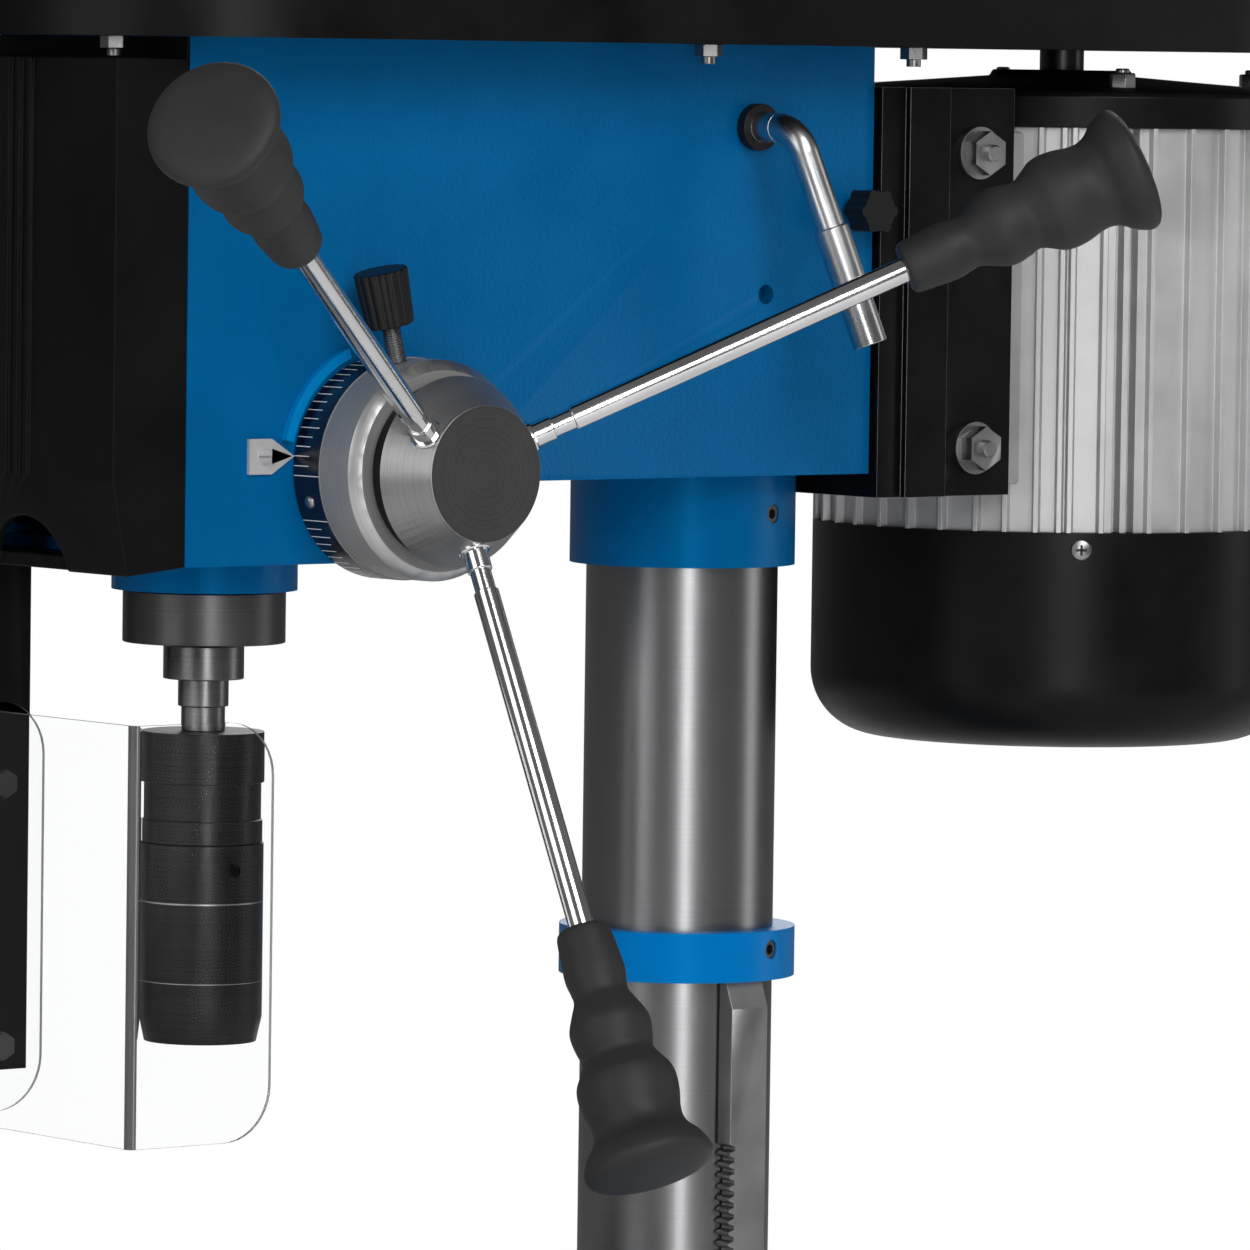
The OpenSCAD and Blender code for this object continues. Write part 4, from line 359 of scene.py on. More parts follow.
def build_materials(colours):
    """Makes every finish and keeps it in MATS under a short key."""
    paint = tuple(colours.paint)
    black = tuple(colours.black)
    MATS["blue"] = grain("blue_paint", paint, 0.0, 0.34, 1.6 * MM, 0.00014, (0.93, 1.06),
                         Specular_IOR_Level=0.4, Specular_Tint=(0.02, 0.45, 1.0, 1.0))
    MATS["collar"] = grain("collar_paint", tuple(colours.collar), 0.0, 0.34, 1.2 * MM, 0.00005,
                           (0.93, 1.06), Specular_IOR_Level=0.4,
                           Specular_Tint=(0.02, 0.45, 1.0, 1.0))
    # Lighter blue for the head's rim: a painted highlight
    MATS["rim"] = grain("rim_painted_highlight", (0.0, 0.2, 0.52), 0.0, 0.3, 1.2 * MM, 0.00005, (0.93, 1.06),
                        Specular_IOR_Level=0.5, Specular_Tint=(0.05, 0.5, 1.0, 1.0))
    MATS["black"] = grain("black_powder_coat", black, 0.0, 0.5, 0.5 * MM, 0.00006, (0.7, 1.4),
                          Specular_IOR_Level=0.1)
    MATS["sheet"] = grain("black_sheet", black, 0.0, 0.36, 0.7 * MM, 0.00003, (0.7, 1.5),
                          Specular_IOR_Level=0.13)
    MATS["bracket"] = grain("bracket_coat", black, 0.0, 0.3, 0.7 * MM, 0.00003, (0.7, 1.5),
                            Specular_IOR_Level=0.12)
    # A lighter, glossier grey for the bracket's rounded edges: painted highlight lines along its
    # edges and beads
    MATS["bracket_edge_highlight"] = grain("bracket_edge_highlight", (0.13, 0.13, 0.13), 0.0, 0.28, 0.7 * MM,
                                 0.00002, (0.8, 1.3), Specular_IOR_Level=0.9)
    MATS["plastic"] = grain("black_plastic", (0.006, 0.006, 0.006), 0.0, 0.42, 0.35 * MM,
                            0.00005, (0.8, 1.3), Specular_IOR_Level=0.25)
    MATS["rubber"] = grain("grip_rubber", tuple(colours.rubber), 0.0, 0.56, 0.45 * MM, 0.00007,
                           (0.85, 1.18), Specular_IOR_Level=0.3)
    MATS["belt"] = grain("belt_rubber", (0.012, 0.012, 0.012), 0.0, 0.7, 0.6 * MM, 0.0001,
                         (0.7, 1.4))
    MATS["green"] = grain("green_plastic", (0.015, 0.28, 0.05), 0.0, 0.25, 0.8 * MM, 0.00002)
    MATS["red"] = grain("red_plastic", (0.5, 0.008, 0.008), 0.0, 0.25, 0.8 * MM, 0.00002)
    MATS["chrome"] = grain("chromed_steel", (0.74, 0.74, 0.75), 1.0, 0.13, 0.9 * MM, 0.000012,
                           (0.9, 1.05), 0.04)
    MATS["satin"] = grain("satin_steel", (0.5, 0.5, 0.505), 1.0, 0.26, 0.7 * MM, 0.00002,
                          (0.85, 1.1))
    MATS["zinc"] = grain("zinc_plated_steel", (0.3, 0.3, 0.3), 1.0, 0.34, 0.7 * MM, 0.00003,
                         (0.8, 1.15))
    MATS["aluminium"] = grain("drawn_aluminium", tuple(colours.aluminium), 0.6, 0.5, 0.7 * MM,
                              0.00003, (0.84, 1.1), stretch=(1, 1, 0.04))
    MATS["pulley"] = turned("turned_aluminium", (0.6, 0.6, 0.61), 0.32, "Z", (0, 0, 0),
                            along=900.0, across=0.0)
    MATS["column"] = turned("ground_column", (0.24, 0.24, 0.245), 0.3, "Z", (0, 0, 0),
                            along=900.0, across=0.0, depth=0.00001, vary=(0.93, 1.05),
                            spread=0.012)
    MATS["ground"] = turned("ground_steel", (0.4, 0.4, 0.405), 0.3, "Z", (0, 0, 0), along=900.0,
                            across=0.0, depth=0.00002)
    MATS["rack"] = grain("milled_rack", (0.3, 0.3, 0.305), 1.0, 0.42, 0.5 * MM, 0.00004,
                         (0.75, 1.2))
    MATS["hub"] = turned("brushed_hub", (0.3, 0.3, 0.3), 0.38, "X", tuple(FEED), metallic=0.85)
    MATS["ring"] = turned("matt_ring", (0.3, 0.3, 0.3), 0.55, "X", tuple(FEED),
                          depth=0.00003, metallic=0.6)
    MATS["chamfer"] = turned("ring_chamfer", (0.55, 0.55, 0.55), 0.36, "X", tuple(FEED),
                             depth=0.00002)
    # Near black for the faces in the hub's groove: painted shade
    MATS["groove"] = turned("ring_groove", (0.03, 0.03, 0.03), 0.5, "X", tuple(FEED),
                            depth=0.00002)
    MATS["hub_face"] = turned("hub_end_face", (0.1, 0.1, 0.1), 0.5, "X", tuple(FEED),
                              along=0.0, across=900.0, depth=0.00003)
    MATS["chuck"] = turned("blackened_chuck", (0.02, 0.02, 0.021), 0.36, "Z", tuple(SPINDLE),
                           along=1100.0, across=1100.0, depth=0.00003, vary=(0.7, 1.25),
                           metallic=0.85)
    MATS["spindle"] = turned("turned_spindle", (0.16, 0.16, 0.163), 0.3, "Z", tuple(SPINDLE))
    MATS["dark_steel"] = turned("dark_steel", (0.09, 0.09, 0.092), 0.38, "Z", tuple(SPINDLE),
                                depth=0.00003, metallic=0.9)
    MATS["drum"] = grain("drum_lacquer", tuple(colours.drum), 0.0, 0.3, 0.6 * MM, 0.00002)
    MATS["white"] = grain("scale_white", (0.72, 0.74, 0.76), 0.0, 0.5, 0.6 * MM, 0.00001)
    MATS["plate"] = grain("pointer_plate", (0.55, 0.55, 0.56), 0.4, 0.4, 0.6 * MM, 0.00002)
    # Near black: painted shade for the bell screws' slots, and the ink of the pointer's mark
    MATS["dark"] = grain("slot_shade_and_mark_black", (0.004, 0.004, 0.004), 0.0, 0.7, 0.6 * MM, 0.00003)
    MATS["cast"] = grain("ground_cast_iron", (0.26, 0.26, 0.265), 0.9, 0.4, 0.35 * MM, 0.00004,
                         (0.78, 1.15), stretch=(0.12, 1, 1))
    MATS["spring"] = grain("blued_spring", (0.07, 0.08, 0.12), 1.0, 0.35, 0.5 * MM, 0.00002)
    mat, tree, shader = principled("clear_sheet", (0.98, 0.985, 0.988), 0.0, 0.03,
                                   Transmission_Weight=1.0, IOR=1.12, Specular_IOR_Level=0.5)
    haze = noise(tree, scaled_coords(tree), 30.0, 4.0, 0.6)
    uneven = to_range(tree, haze, 0.0, 0.004)
    tree.links.new(uneven, shader.inputs["Roughness"])
    MATS["clear"] = mat
    # Grey for the sheet's cut edges and darker grey for its folds: painted highlight and painted
    # reflection lines on the clear sheet
    MATS["clear_edge_highlight"] = grain("clear_sheet_edge_highlight", (0.3, 0.3, 0.3), 0.0, 0.2, 0.8 * MM, 0.00001)
    MATS["clear_fold_reflection"] = grain("clear_sheet_fold_reflection", (0.1, 0.1, 0.1), 0.0, 0.2, 0.8 * MM, 0.00001)


# Mesh helpers

def give(obj, key):
    """Sets one material on all of an object's faces."""
    obj.data.materials.clear()
    obj.data.materials.append(MATS[key])
    for poly in obj.data.polygons:
        poly.material_index = 0


def smooth(obj, degrees):
    """Shades an object smooth, with edges sharper than an angle kept sharp."""
    obj.data.shade_smooth()
    obj.data.set_sharp_from_angle(angle=math.radians(degrees))


def finish_piece(name, bm, key, body, replaced=(), edge=0.0, segments=2, degrees=32):
    """Turns a bmesh into a riding piece at the origin, with rounded edges."""
    bmesh.ops.recalc_face_normals(bm, faces=bm.faces)
    mesh = bpy.data.meshes.new(name)
    bm.to_mesh(mesh)
    bm.free()
    obj = bpy.data.objects.new(name, mesh)
    bpy.context.scene.collection.objects.link(obj)
    smooth(obj, degrees)
    if edge > 0:
        add_bevel(obj, edge, segments, degrees)
    give(obj, key)
    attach(obj, body)
    if replaced:
        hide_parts(*replaced)
    return obj


def add_bevel(obj, width, segments, degrees):
    """Rounds the edges that are sharper than an angle."""
    mod = obj.modifiers.new("rounded", "BEVEL")
    mod.width = width
    mod.segments = segments
    mod.limit_method = "ANGLE"
    mod.angle_limit = math.radians(degrees)
    mod.harden_normals = True
    mod.use_clamp_overlap = True


NODE_BODY = {n: b for b, ns in frame["record"]["behaviour"]["bodies"].items() for n in ns}


def cad_copy(node):
    """The node's mesh as a merged bmesh with flat regions joined."""
    bm = bmesh.new()
    bm.from_mesh(frame["nodes"][node].data)
    bmesh.ops.remove_doubles(bm, verts=bm.verts, dist=4e-6)
    bmesh.ops.dissolve_limit(bm, angle_limit=math.radians(0.6), verts=bm.verts, edges=bm.edges)
    return bm


def soften(node, key, edge, segments=2, degrees=40):
    """Replaces a CAD node by a copy with rounded edges."""
    return finish_piece("soft_" + node, cad_copy(node), key, NODE_BODY[node],
                        (node,), edge, segments, degrees)


def keep(node, key):
    """Leaves a CAD node as it is, with a finish."""
    give(frame["nodes"][node], key)


def spin(bm, points, axis, centre, steps=64, closed=True):
    """Spins (radius, height) points, in mm, round an axis through a centre in metres."""
    along = {"X": Vector((1, 0, 0)), "Y": Vector((0, 1, 0)), "Z": Vector((0, 0, 1))}[axis]
    out = {"X": Vector((0, 1, 0)), "Y": Vector((0, 0, 1)), "Z": Vector((1, 0, 0))}[axis]
    verts = [bm.verts.new(Vector(centre) + out * (r * MM) + along * (h * MM)) for r, h in points]
    count = len(verts)
    last = count if closed else count - 1
    edges = [bm.edges.new((verts[i], verts[(i + 1) % count])) for i in range(last)]
    bmesh.ops.spin(bm, geom=verts + edges, cent=centre, axis=along, angle=TURN, steps=steps,
                   use_merge=True)
    bmesh.ops.remove_doubles(bm, verts=bm.verts, dist=2e-6)


def block(bm, low, high):
    """A box between two corners, in metres."""
    low, high = Vector(low), Vector(high)
    size = high - low
    place = Matrix.Translation((low + high) / 2) @ Matrix.Diagonal((*size, 1))
    bmesh.ops.create_cube(bm, size=1.0, matrix=place)


def hex_head(bm, centre, axis, flats, height):
    """A six-sided bolt head or nut with its chamfer, in metres."""
    turn = Vector(axis).to_track_quat("Z", "Y").to_matrix().to_4x4()
    place = Matrix.Translation(Vector(centre) + Vector(axis) * height / 2) @ turn
    radius = flats / math.sqrt(3)
    made = bmesh.ops.create_cone(bm, cap_ends=True, segments=6, radius1=radius, radius2=radius,
                                 depth=height, matrix=place)
    top = [e for v in made["verts"] for e in v.link_edges
           if all((w.co - Vector(centre)).dot(Vector(axis)) > height * 0.9 for w in e.verts)]
    bmesh.ops.bevel(bm, geom=list(set(top)), offset=height * 0.12, affect="EDGES", segments=2,
                    profile=0.5, material=-1)


def place_profile(bm, points, matrix, steps):
    """Spins (radius, height) points in mm round local Z, then moves them by a matrix."""
    part = bmesh.new()
    spin(part, points, "Z", (0, 0, 0), steps, closed=False)
    part.transform(matrix)
    mesh = bpy.data.meshes.new("part")
    part.to_mesh(mesh)
    part.free()
    bm.from_mesh(mesh)
    bpy.data.meshes.remove(mesh)


def paint_where(obj, *rules):
    """Gives faces another material where a test of their middle and normal, in mm, holds."""
    for key, test in rules:
        obj.data.materials.append(MATS[key])
        index = len(obj.data.materials) - 1
        for poly in obj.data.polygons:
            if test(poly.center / MM, poly.normal):
                poly.material_index = index


def feed_radius(p):
    """Distance of a point from the feed axis, in mm."""
    return math.hypot(p.y - FEED.y / MM, p.z - FEED.z / MM)


def prism(bm, outline, low, high, centre=(0, 0)):
    """An upright prism over (x, y) outline points, all in mm."""
    made = bmesh.ops.create_circle(bm, cap_ends=True, segments=len(outline), radius=1)
    for vert, (x, y) in zip(made["verts"], outline):
        vert.co = ((x + centre[0]) * MM, (y + centre[1]) * MM, low * MM)
    face = made["verts"][0].link_faces[0]
    lifted = bmesh.ops.extrude_face_region(bm, geom=[face])
    verts = [g for g in lifted["geom"] if isinstance(g, bmesh.types.BMVert)]
    bmesh.ops.translate(bm, verts=verts, vec=(0, 0, (high - low) * MM))


def arc(x, y, radius, start, end, steps):
    """Points on an arc from one angle to another, in degrees."""
    turns = [math.radians(start + (end - start) * i / steps) for i in range(steps + 1)]
    return [(x + radius * math.cos(a), y + radius * math.sin(a)) for a in turns]


def flow(points, steps):
    """A smooth curve through (a, b) points."""
    out = []
    for i in range(len(points) - 1):
        p0, p1 = points[max(0, i - 1)], points[i]
        p2, p3 = points[i + 1], points[min(len(points) - 1, i + 2)]
        for k in range(steps):
            t = k / steps
            out.append(tuple(
                0.5 * (2 * b + (c - a) * t + (2 * a - 5 * b + 4 * c - d) * t * t
                       + (3 * b - a - 3 * c + d) * t ** 3)
                for a, b, c, d in zip(p0, p1, p2, p3)))
    out.append(points[-1])
    return out


def arm_place(turn):
    """Local Z along a feed rod that stands at a turn round the feed shaft."""
    return (Matrix.Translation((ARM_X * MM, FEED.y, FEED.z))
            @ Matrix.Rotation(math.radians(turn), 4, "X")
            @ Matrix.Rotation(math.radians(-ROD_LEAN), 4, "Z")
            @ Matrix.Rotation(math.radians(-90), 4, "X"))


def radial_place(turn, x, radius):
    """Local Z points out of the feed axis at a turn, at an X place and a radius in mm."""
    return (Matrix.Translation((x * MM, FEED.y, FEED.z))
            @ Matrix.Rotation(math.radians(turn - 90), 4, "X")
            @ Matrix.Translation((0, 0, radius * MM)))


# Operators, one for each group of pieces and one for the stage

class DrillOperator:
    """What the operators share: each one's make gets the scene's sizes and colours."""
    bl_options = {"REGISTER"}

    def execute(self, context):
        self.make(context.scene.drill_sizes, context.scene.drill_colours)
        return {"FINISHED"}


class DRILL_OT_materials(DrillOperator, bpy.types.Operator):
    """Make the finishes"""
    bl_idname = "drill.materials"
    bl_label = "Finishes"

    def make(self, sizes, colours):
        build_materials(colours)


class DRILL_OT_castings(DrillOperator, bpy.types.Operator):
    """Round and paint the blue castings"""
    bl_idname = "drill.castings"
    bl_label = "Castings"

    def make(self, sizes, colours):
        head = soften("head_casting", "blue", sizes.casting_edge, 3)
        # Faces round the rim take the lighter blue: a painted highlight
        paint_where(head, ("rim", lambda p, n: p.x > HEAD_RIM_HIGHLIGHT_X
                           and HEAD_RIM_HIGHLIGHT_R[0] < feed_radius(p) < HEAD_RIM_HIGHLIGHT_R[1]))
        soften("base", "blue", sizes.casting_edge, 2)
        soften("column_foot", "blue", 1.5 * MM, 2)
        soften("table_bracket", "blue", 1.5 * MM, 2)
        soften("rack_collar", "collar", 0.7 * MM, 2)


class DRILL_OT_sheet_metal(DrillOperator, bpy.types.Operator):
    """Round and coat the black covers"""
    bl_idname = "drill.sheet_metal"
    bl_label = "Covers"

    def make(self, sizes, colours):
        soften("front_cover", "black", 1.2 * MM, 3)
        bm = bmesh.new()
        block(bm, *COVER_FLANGE)
        finish_piece("front_cover_flange", bm, "black", "frame", edge=0.3 * MM)
        soften("belt_cover_tray", "sheet", sizes.sheet_edge, 2)
        soften("belt_cover_lid", "sheet", 1.4 * MM, 3, 30)
        soften("return_spring_cap", "black", sizes.sheet_edge, 2)
        soften("switch_box", "plastic", 1.5 * MM, 3)
        soften("guard_arm", "sheet", 0.6 * MM, 2)
        soften("start_button", "green", 0.8 * MM, 3)
        soften("stop_button", "red", 0.8 * MM, 3)


class DRILL_OT_column(DrillOperator, bpy.types.Operator):
    """Finish the column, the rack and the steel bars"""
    bl_idname = "drill.column"
    bl_label = "Column and rack"

    def make(self, sizes, colours):
        soften("column", "column", 0.6 * MM, 2)
        soften("rack", "rack", 0.25 * MM, 2)
        soften("slide_bars", "ground", 0.4 * MM, 2)
        keep("set_screws", "dark_steel")


class DRILL_OT_table(DrillOperator, bpy.types.Operator):
    """Finish the table and its lift crank"""
    bl_idname = "drill.table"
    bl_label = "Table"

    def make(self, sizes, colours):
        soften("table", "cast", 1.2 * MM, 2)
        soften("tilt_bolt", "zinc", 0.8 * MM, 2)
        soften("crank_arm", "black", 1.0 * MM, 2)
        keep("crank_shaft", "ground")
        keep("crank_grip", "plastic")
        keep("table_lock_lever", "chrome")


class DRILL_OT_feed_hub(DrillOperator, bpy.types.Operator):
    """Make the feed hub, its scale drum and depth ring"""
    bl_idname = "drill.feed_hub"
    bl_label = "Feed hub"

    def make(self, sizes, colours):
        hub = soften("feed_hub", "hub", sizes.turned_edge, 3)
        paint_where(
            hub,
            ("hub_face", lambda p, n: p.x > HUB_FACE_X and n.x > 0.9),
            # Groove faces take the near black: painted shade
            ("groove", lambda p, n: HUB_GROOVE_SHADE_X[0] < p.x < HUB_GROOVE_SHADE_X[1]
             and feed_radius(p) < HUB_GROOVE_SHADE_R and n.x > -0.5))
        ring = soften("depth_ring", "ring", 0.35 * MM, 2)
        paint_where(
            ring,
            ("drum", lambda p, n: p.x < DRUM_X[1] - 0.2 and feed_radius(p) > DRUM_INNER_R),
            ("chamfer", lambda p, n: p.x > RING_CHAMFER_X and 0.3 < n.x < 0.95))
        keep("feed_shaft", "ground")
        soften("feed_rods", "chrome", 0.3 * MM, 2, 30)
        bm = bmesh.new()
        for turn in ROD_TURNS:
            place_profile(bm, ROD_SEAT, arm_place(turn), 32)
        finish_piece("rod_seats", bm, "chrome", "feed_body")


class DRILL_OT_depth_scale(DrillOperator, bpy.types.Operator):
    """Make the white ticks and the screw of the depth scale"""
    bl_idname = "drill.depth_scale"
    bl_label = "Depth scale"

    def make(self, sizes, colours):
        bm = bmesh.new()
        for i in range(SCALE_TICKS + 1):
            turn = SCALE_START - i * (360 - SCALE_GAP) / SCALE_TICKS
            length = TICK_LENGTH
            if i % 5 == 0:
                length = FIFTH_TICK_LENGTH
            if i in (0, SCALE_TICKS):
                length = END_TICK_LENGTH
            place = radial_place(turn, DRUM_X[0] + 0.2 + length / 2, DRUM_R)
            size = Matrix.Diagonal((length * MM, TICK_WIDTH * MM, TICK_DEPTH * MM, 1))
            bmesh.ops.create_cube(bm, size=1.0, matrix=place @ size)
        finish_piece("scale_ticks", bm, "white", "depth_ring_body")
        bm = bmesh.new()
        place_profile(bm, SCALE_SCREW, radial_place(SCALE_SCREW_TURN, SCALE_SCREW_X, DRUM_R), 24)
        finish_piece("scale_screw", bm, "zinc", "depth_ring_body")


class DRILL_OT_depth_lock(DrillOperator, bpy.types.Operator):
    """Make the fluted lock knob of the depth ring"""
    bl_idname = "drill.depth_lock"
    bl_label = "Depth lock knob"

    def make(self, sizes, colours):
        place = radial_place(LOCK_TURN, LOCK_X, 0)
        bm = bmesh.new()
        stem = [(0, THREAD_START - 1.5), (LOCK_STEM_R, THREAD_START - 0.5)]
        for i in range(THREAD_RINGS):
            stem += [(THREAD_CREST_R, THREAD_START + i), (THREAD_ROOT_R, THREAD_START + 0.5 + i)]
        stem += [(LOCK_STEM_R, LOCK_STEM_TOP), (0, LOCK_STEM_TOP)]
        place_profile(bm, stem, place, 24)
        finish_piece("lock_screw", bm, "zinc", "depth_lock_body",
                     ("depth_lock_knob",), degrees=60)
        bm = bmesh.new()
        made = bmesh.ops.create_cone(bm, cap_ends=True, segments=64, radius1=CAP_FOOT_R * MM,
                                     radius2=CAP_TOP_R * MM, depth=CAP_H * MM,
                                     matrix=Matrix.Translation((0, 0, CAP_MIDDLE * MM)))
        for vert in made["verts"]:
            angle = math.atan2(vert.co.y, vert.co.x)
            dip = 1 - CAP_FLUTE_SHARE * max(0.0, math.cos(CAP_FLUTES * angle))
            vert.co.x *= dip
            vert.co.y *= dip
        bm.transform(place)
        finish_piece("lock_cap", bm, "plastic", "depth_lock_body", (), 0.9 * MM,
                     3, 50)


class DRILL_OT_grips(DrillOperator, bpy.types.Operator):
    """Make the three rubber feed grips"""
    bl_idname = "drill.grips"
    bl_label = "Feed grips"

    def make(self, sizes, colours):
        bm = bmesh.new()
        shares = flow(GRIP_SHARES, 5)
        outline = [(0, ROD_L)]
        outline += [(r * GRIP_R, ROD_L + a * GRIP_L) for a, r in shares]
        outline += [(0, ROD_L + GRIP_L)]
        for turn in ROD_TURNS:
            place_profile(bm, outline, arm_place(turn), sizes.grip_segments)
        finish_piece("rubber_grips", bm, "rubber", "feed_body", ("feed_grips",),
                     degrees=75)


class DRILL_OT_chuck(DrillOperator, bpy.types.Operator):
    """Finish the chuck, the spindle and the quill"""
    bl_idname = "drill.chuck"
    bl_label = "Chuck and spindle"

    def make(self, sizes, colours):
        soften("chuck_body", "chuck", 0.5 * MM, 3)
        soften("chuck_sleeve", "chuck", 0.5 * MM, 3)
        for i in (1, 2, 3):
            keep("chuck_jaw_%d" % i, "spindle")
        bm = bmesh.new()
        for radius, low, high in SLEEVE_LINES:
            inner = SLEEVE_LINE_INNER_R
            spin(bm, [(inner, low), (radius, low), (radius, high), (inner, high)], "Z", SPINDLE,
                 96)
        finish_piece("sleeve_lines", bm, "zinc", "chuck_sleeve_body")
        soften("chuck_arbor", "spindle", 0.4 * MM, 2)
        soften("spindle", "spindle", 0.5 * MM, 2)
        soften("quill_collar", "dark_steel", 0.6 * MM, 2)
        soften("quill", "spindle", 0.3 * MM, 2)


class DRILL_OT_motor(DrillOperator, bpy.types.Operator):
    """Make the motor and its bracket"""
    bl_idname = "drill.motor"
    bl_label = "Motor"

    def make(self, sizes, colours):
        bm = bmesh.new()
        outline = []
        for turn in sorted(RIB_TURNS + SEAM_TURNS):
            high = SEAM_R if turn in SEAM_TURNS else MOTOR_R
            for shift, radius in ((-FIN_ROOT_TURN, FIN_ROOT_R), (-FIN_TIP_TURN, high),
                                  (FIN_TIP_TURN, high), (FIN_ROOT_TURN, FIN_ROOT_R)):
                a = math.radians(turn + shift)
                outline.append((radius * math.cos(a), radius * math.sin(a)))
        prism(bm, outline, *HOUSING_Z, (0, MOTOR.y / MM))
        finish_piece("ribbed_housing", bm, "aluminium", "motor_body",
                     ("motor_housing",), 0.3 * MM, 2)
        bm = bmesh.new()
        block(bm, *MOTOR_FEET)
        finish_piece("motor_feet", bm, "aluminium", "motor_body",
                     edge=1.5 * MM)
        bm = bmesh.new()
        spin(bm, COVER_SHIELD, "Z", MOTOR, 96)
        finish_piece("cover_shield", bm, "sheet", "motor_body",
                     ("motor_top_cover",), 0.6 * MM, 2, 20)
        soften("motor_bell", "sheet", 0.8 * MM, 2, 40)
        bracket = soften("motor_bracket", "bracket", 1.8 * MM, 4)
        # The rounded edges take the lighter grey: painted highlight lines on the bracket
        bracket.data.materials.append(MATS["bracket_edge_highlight"])
        bracket.modifiers["rounded"].material = 1
        keep("motor_rotor", "dark_steel")
        make_motor_screws()


def make_motor_screws():
    """Stud ends in the bracket's bolts, nuts on the top cover and screws round the bell."""
    bolts = frame["nodes"]["motor_bolts"].data.vertices
    out = max(v.co.x for v in bolts) / MM
    bm = bmesh.new()
    for height in BOLT_END_HEIGHTS:
        for side in (1, -1):
            place = Matrix.Translation((side * out * MM, BOLT_END_Y, height * MM))
            place = place @ Matrix.Rotation(side * math.pi / 2, 4, "Y")
            place_profile(bm, BOLT_END, place, 20)
    finish_piece("bolt_ends", bm, "zinc", "motor_body")
    bm = bmesh.new()
    for turn in NUT_TURNS:
        a = math.radians(turn)
        foot = MOTOR + Vector((NUT_OUT * math.cos(a), NUT_OUT * math.sin(a), NUT_FOOT))
        hex_head(bm, foot, (0, 0, 1), NUT_FLATS, NUT_H)
        place_profile(bm, STUD_END, Matrix.Translation(foot), 20)
    finish_piece("cover_nuts", bm, "zinc", "motor_body", edge=0.2 * MM)
    heads, slot_shade = bmesh.new(), bmesh.new()
    for turn in BELL_SCREW_TURNS:
        place = (Matrix.Translation(MOTOR + Vector((0, 0, BELL_SCREW_Z)))
                 @ Matrix.Rotation(math.radians(turn), 4, "Z")
                 @ Matrix.Rotation(math.pi / 2, 4, "Y")
                 @ Matrix.Translation((0, 0, BELL_SCREW_OUT)))
        place_profile(heads, BELL_SCREW, place, 28)
        # Each slot is a cross of two thin near-black boxes: painted shade in the screw's slot
        lift = Matrix.Translation((0, 0, SCREW_SLOT_OUT * MM))
        for long, wide in (SCREW_SLOT, SCREW_SLOT[::-1]):
            size = Matrix.Diagonal((long * MM, wide * MM, SCREW_SLOT_DEPTH * MM, 1))
            bmesh.ops.create_cube(slot_shade, size=1.0, matrix=place @ lift @ size)
    finish_piece("bell_screws", heads, "zinc", "motor_body")
    finish_piece("bell_screw_slot_shade", slot_shade, "dark", "motor_body")


class DRILL_OT_guard(DrillOperator, bpy.types.Operator):
    """Make the clear chuck guard"""
    bl_idname = "drill.guard"
    bl_label = "Guard"

    def make(self, sizes, colours):
        fold_x = GUARD_HALF - GUARD_FOLD_R
        inner_r = GUARD_FOLD_R - GUARD_WALL
        inner_half = GUARD_HALF - GUARD_WALL
        outline = [(GUARD_HALF, GUARD_RIGHT_Y)]
        outline += arc(fold_x, GUARD_FRONT_Y, GUARD_FOLD_R, 0, -90, 6)
        outline += arc(-fold_x, GUARD_FRONT_Y, GUARD_FOLD_R, -90, -180, 6)
        outline += [(-GUARD_HALF, GUARD_LEFT_Y), (-inner_half, GUARD_LEFT_Y)]
        outline += arc(-fold_x, GUARD_FRONT_Y, inner_r, -180, -90, 6)
        outline += arc(fold_x, GUARD_FRONT_Y, inner_r, -90, 0, 6)
        outline += [(inner_half, GUARD_RIGHT_Y)]
        bm = bmesh.new()
        prism(bm, outline, *GUARD_Z)
        # The four corners at the sheet's free ends are its short edges furthest back
        corners = [e for e in bm.edges
                   if (e.verts[0].co - e.verts[1].co).length < (GUARD_WALL + 1) * MM
                   and min(v.co.y for v in e.verts) > (GUARD_LEFT_Y - 1) * MM]
        bmesh.ops.bevel(bm, geom=corners, offset=GUARD_CORNER_R * MM, affect="EDGES",
                        segments=10, profile=0.5, material=-1)
        shield = finish_piece("clear_shield", bm, "clear", "guard_body",
                              ("guard_shield",))
        # The cut edges and the folds take the greys: painted highlight and painted reflection
        # lines
        paint_where(
            shield,
            ("clear_edge_highlight", lambda p, n: abs(n.z) > 0.25
             or (n.y > 0.25 and p.y > GUARD_FRONT_Y + GUARD_FOLD_R)),
            ("clear_fold_reflection", lambda p, n: p.y < GUARD_FRONT_Y and abs(p.x) > fold_x
             and 0.1 < abs(n.x) < 0.99 and abs(n.z) < 0.1))
        soften("guard_screws", "dark_steel", 0.4 * MM, 2)


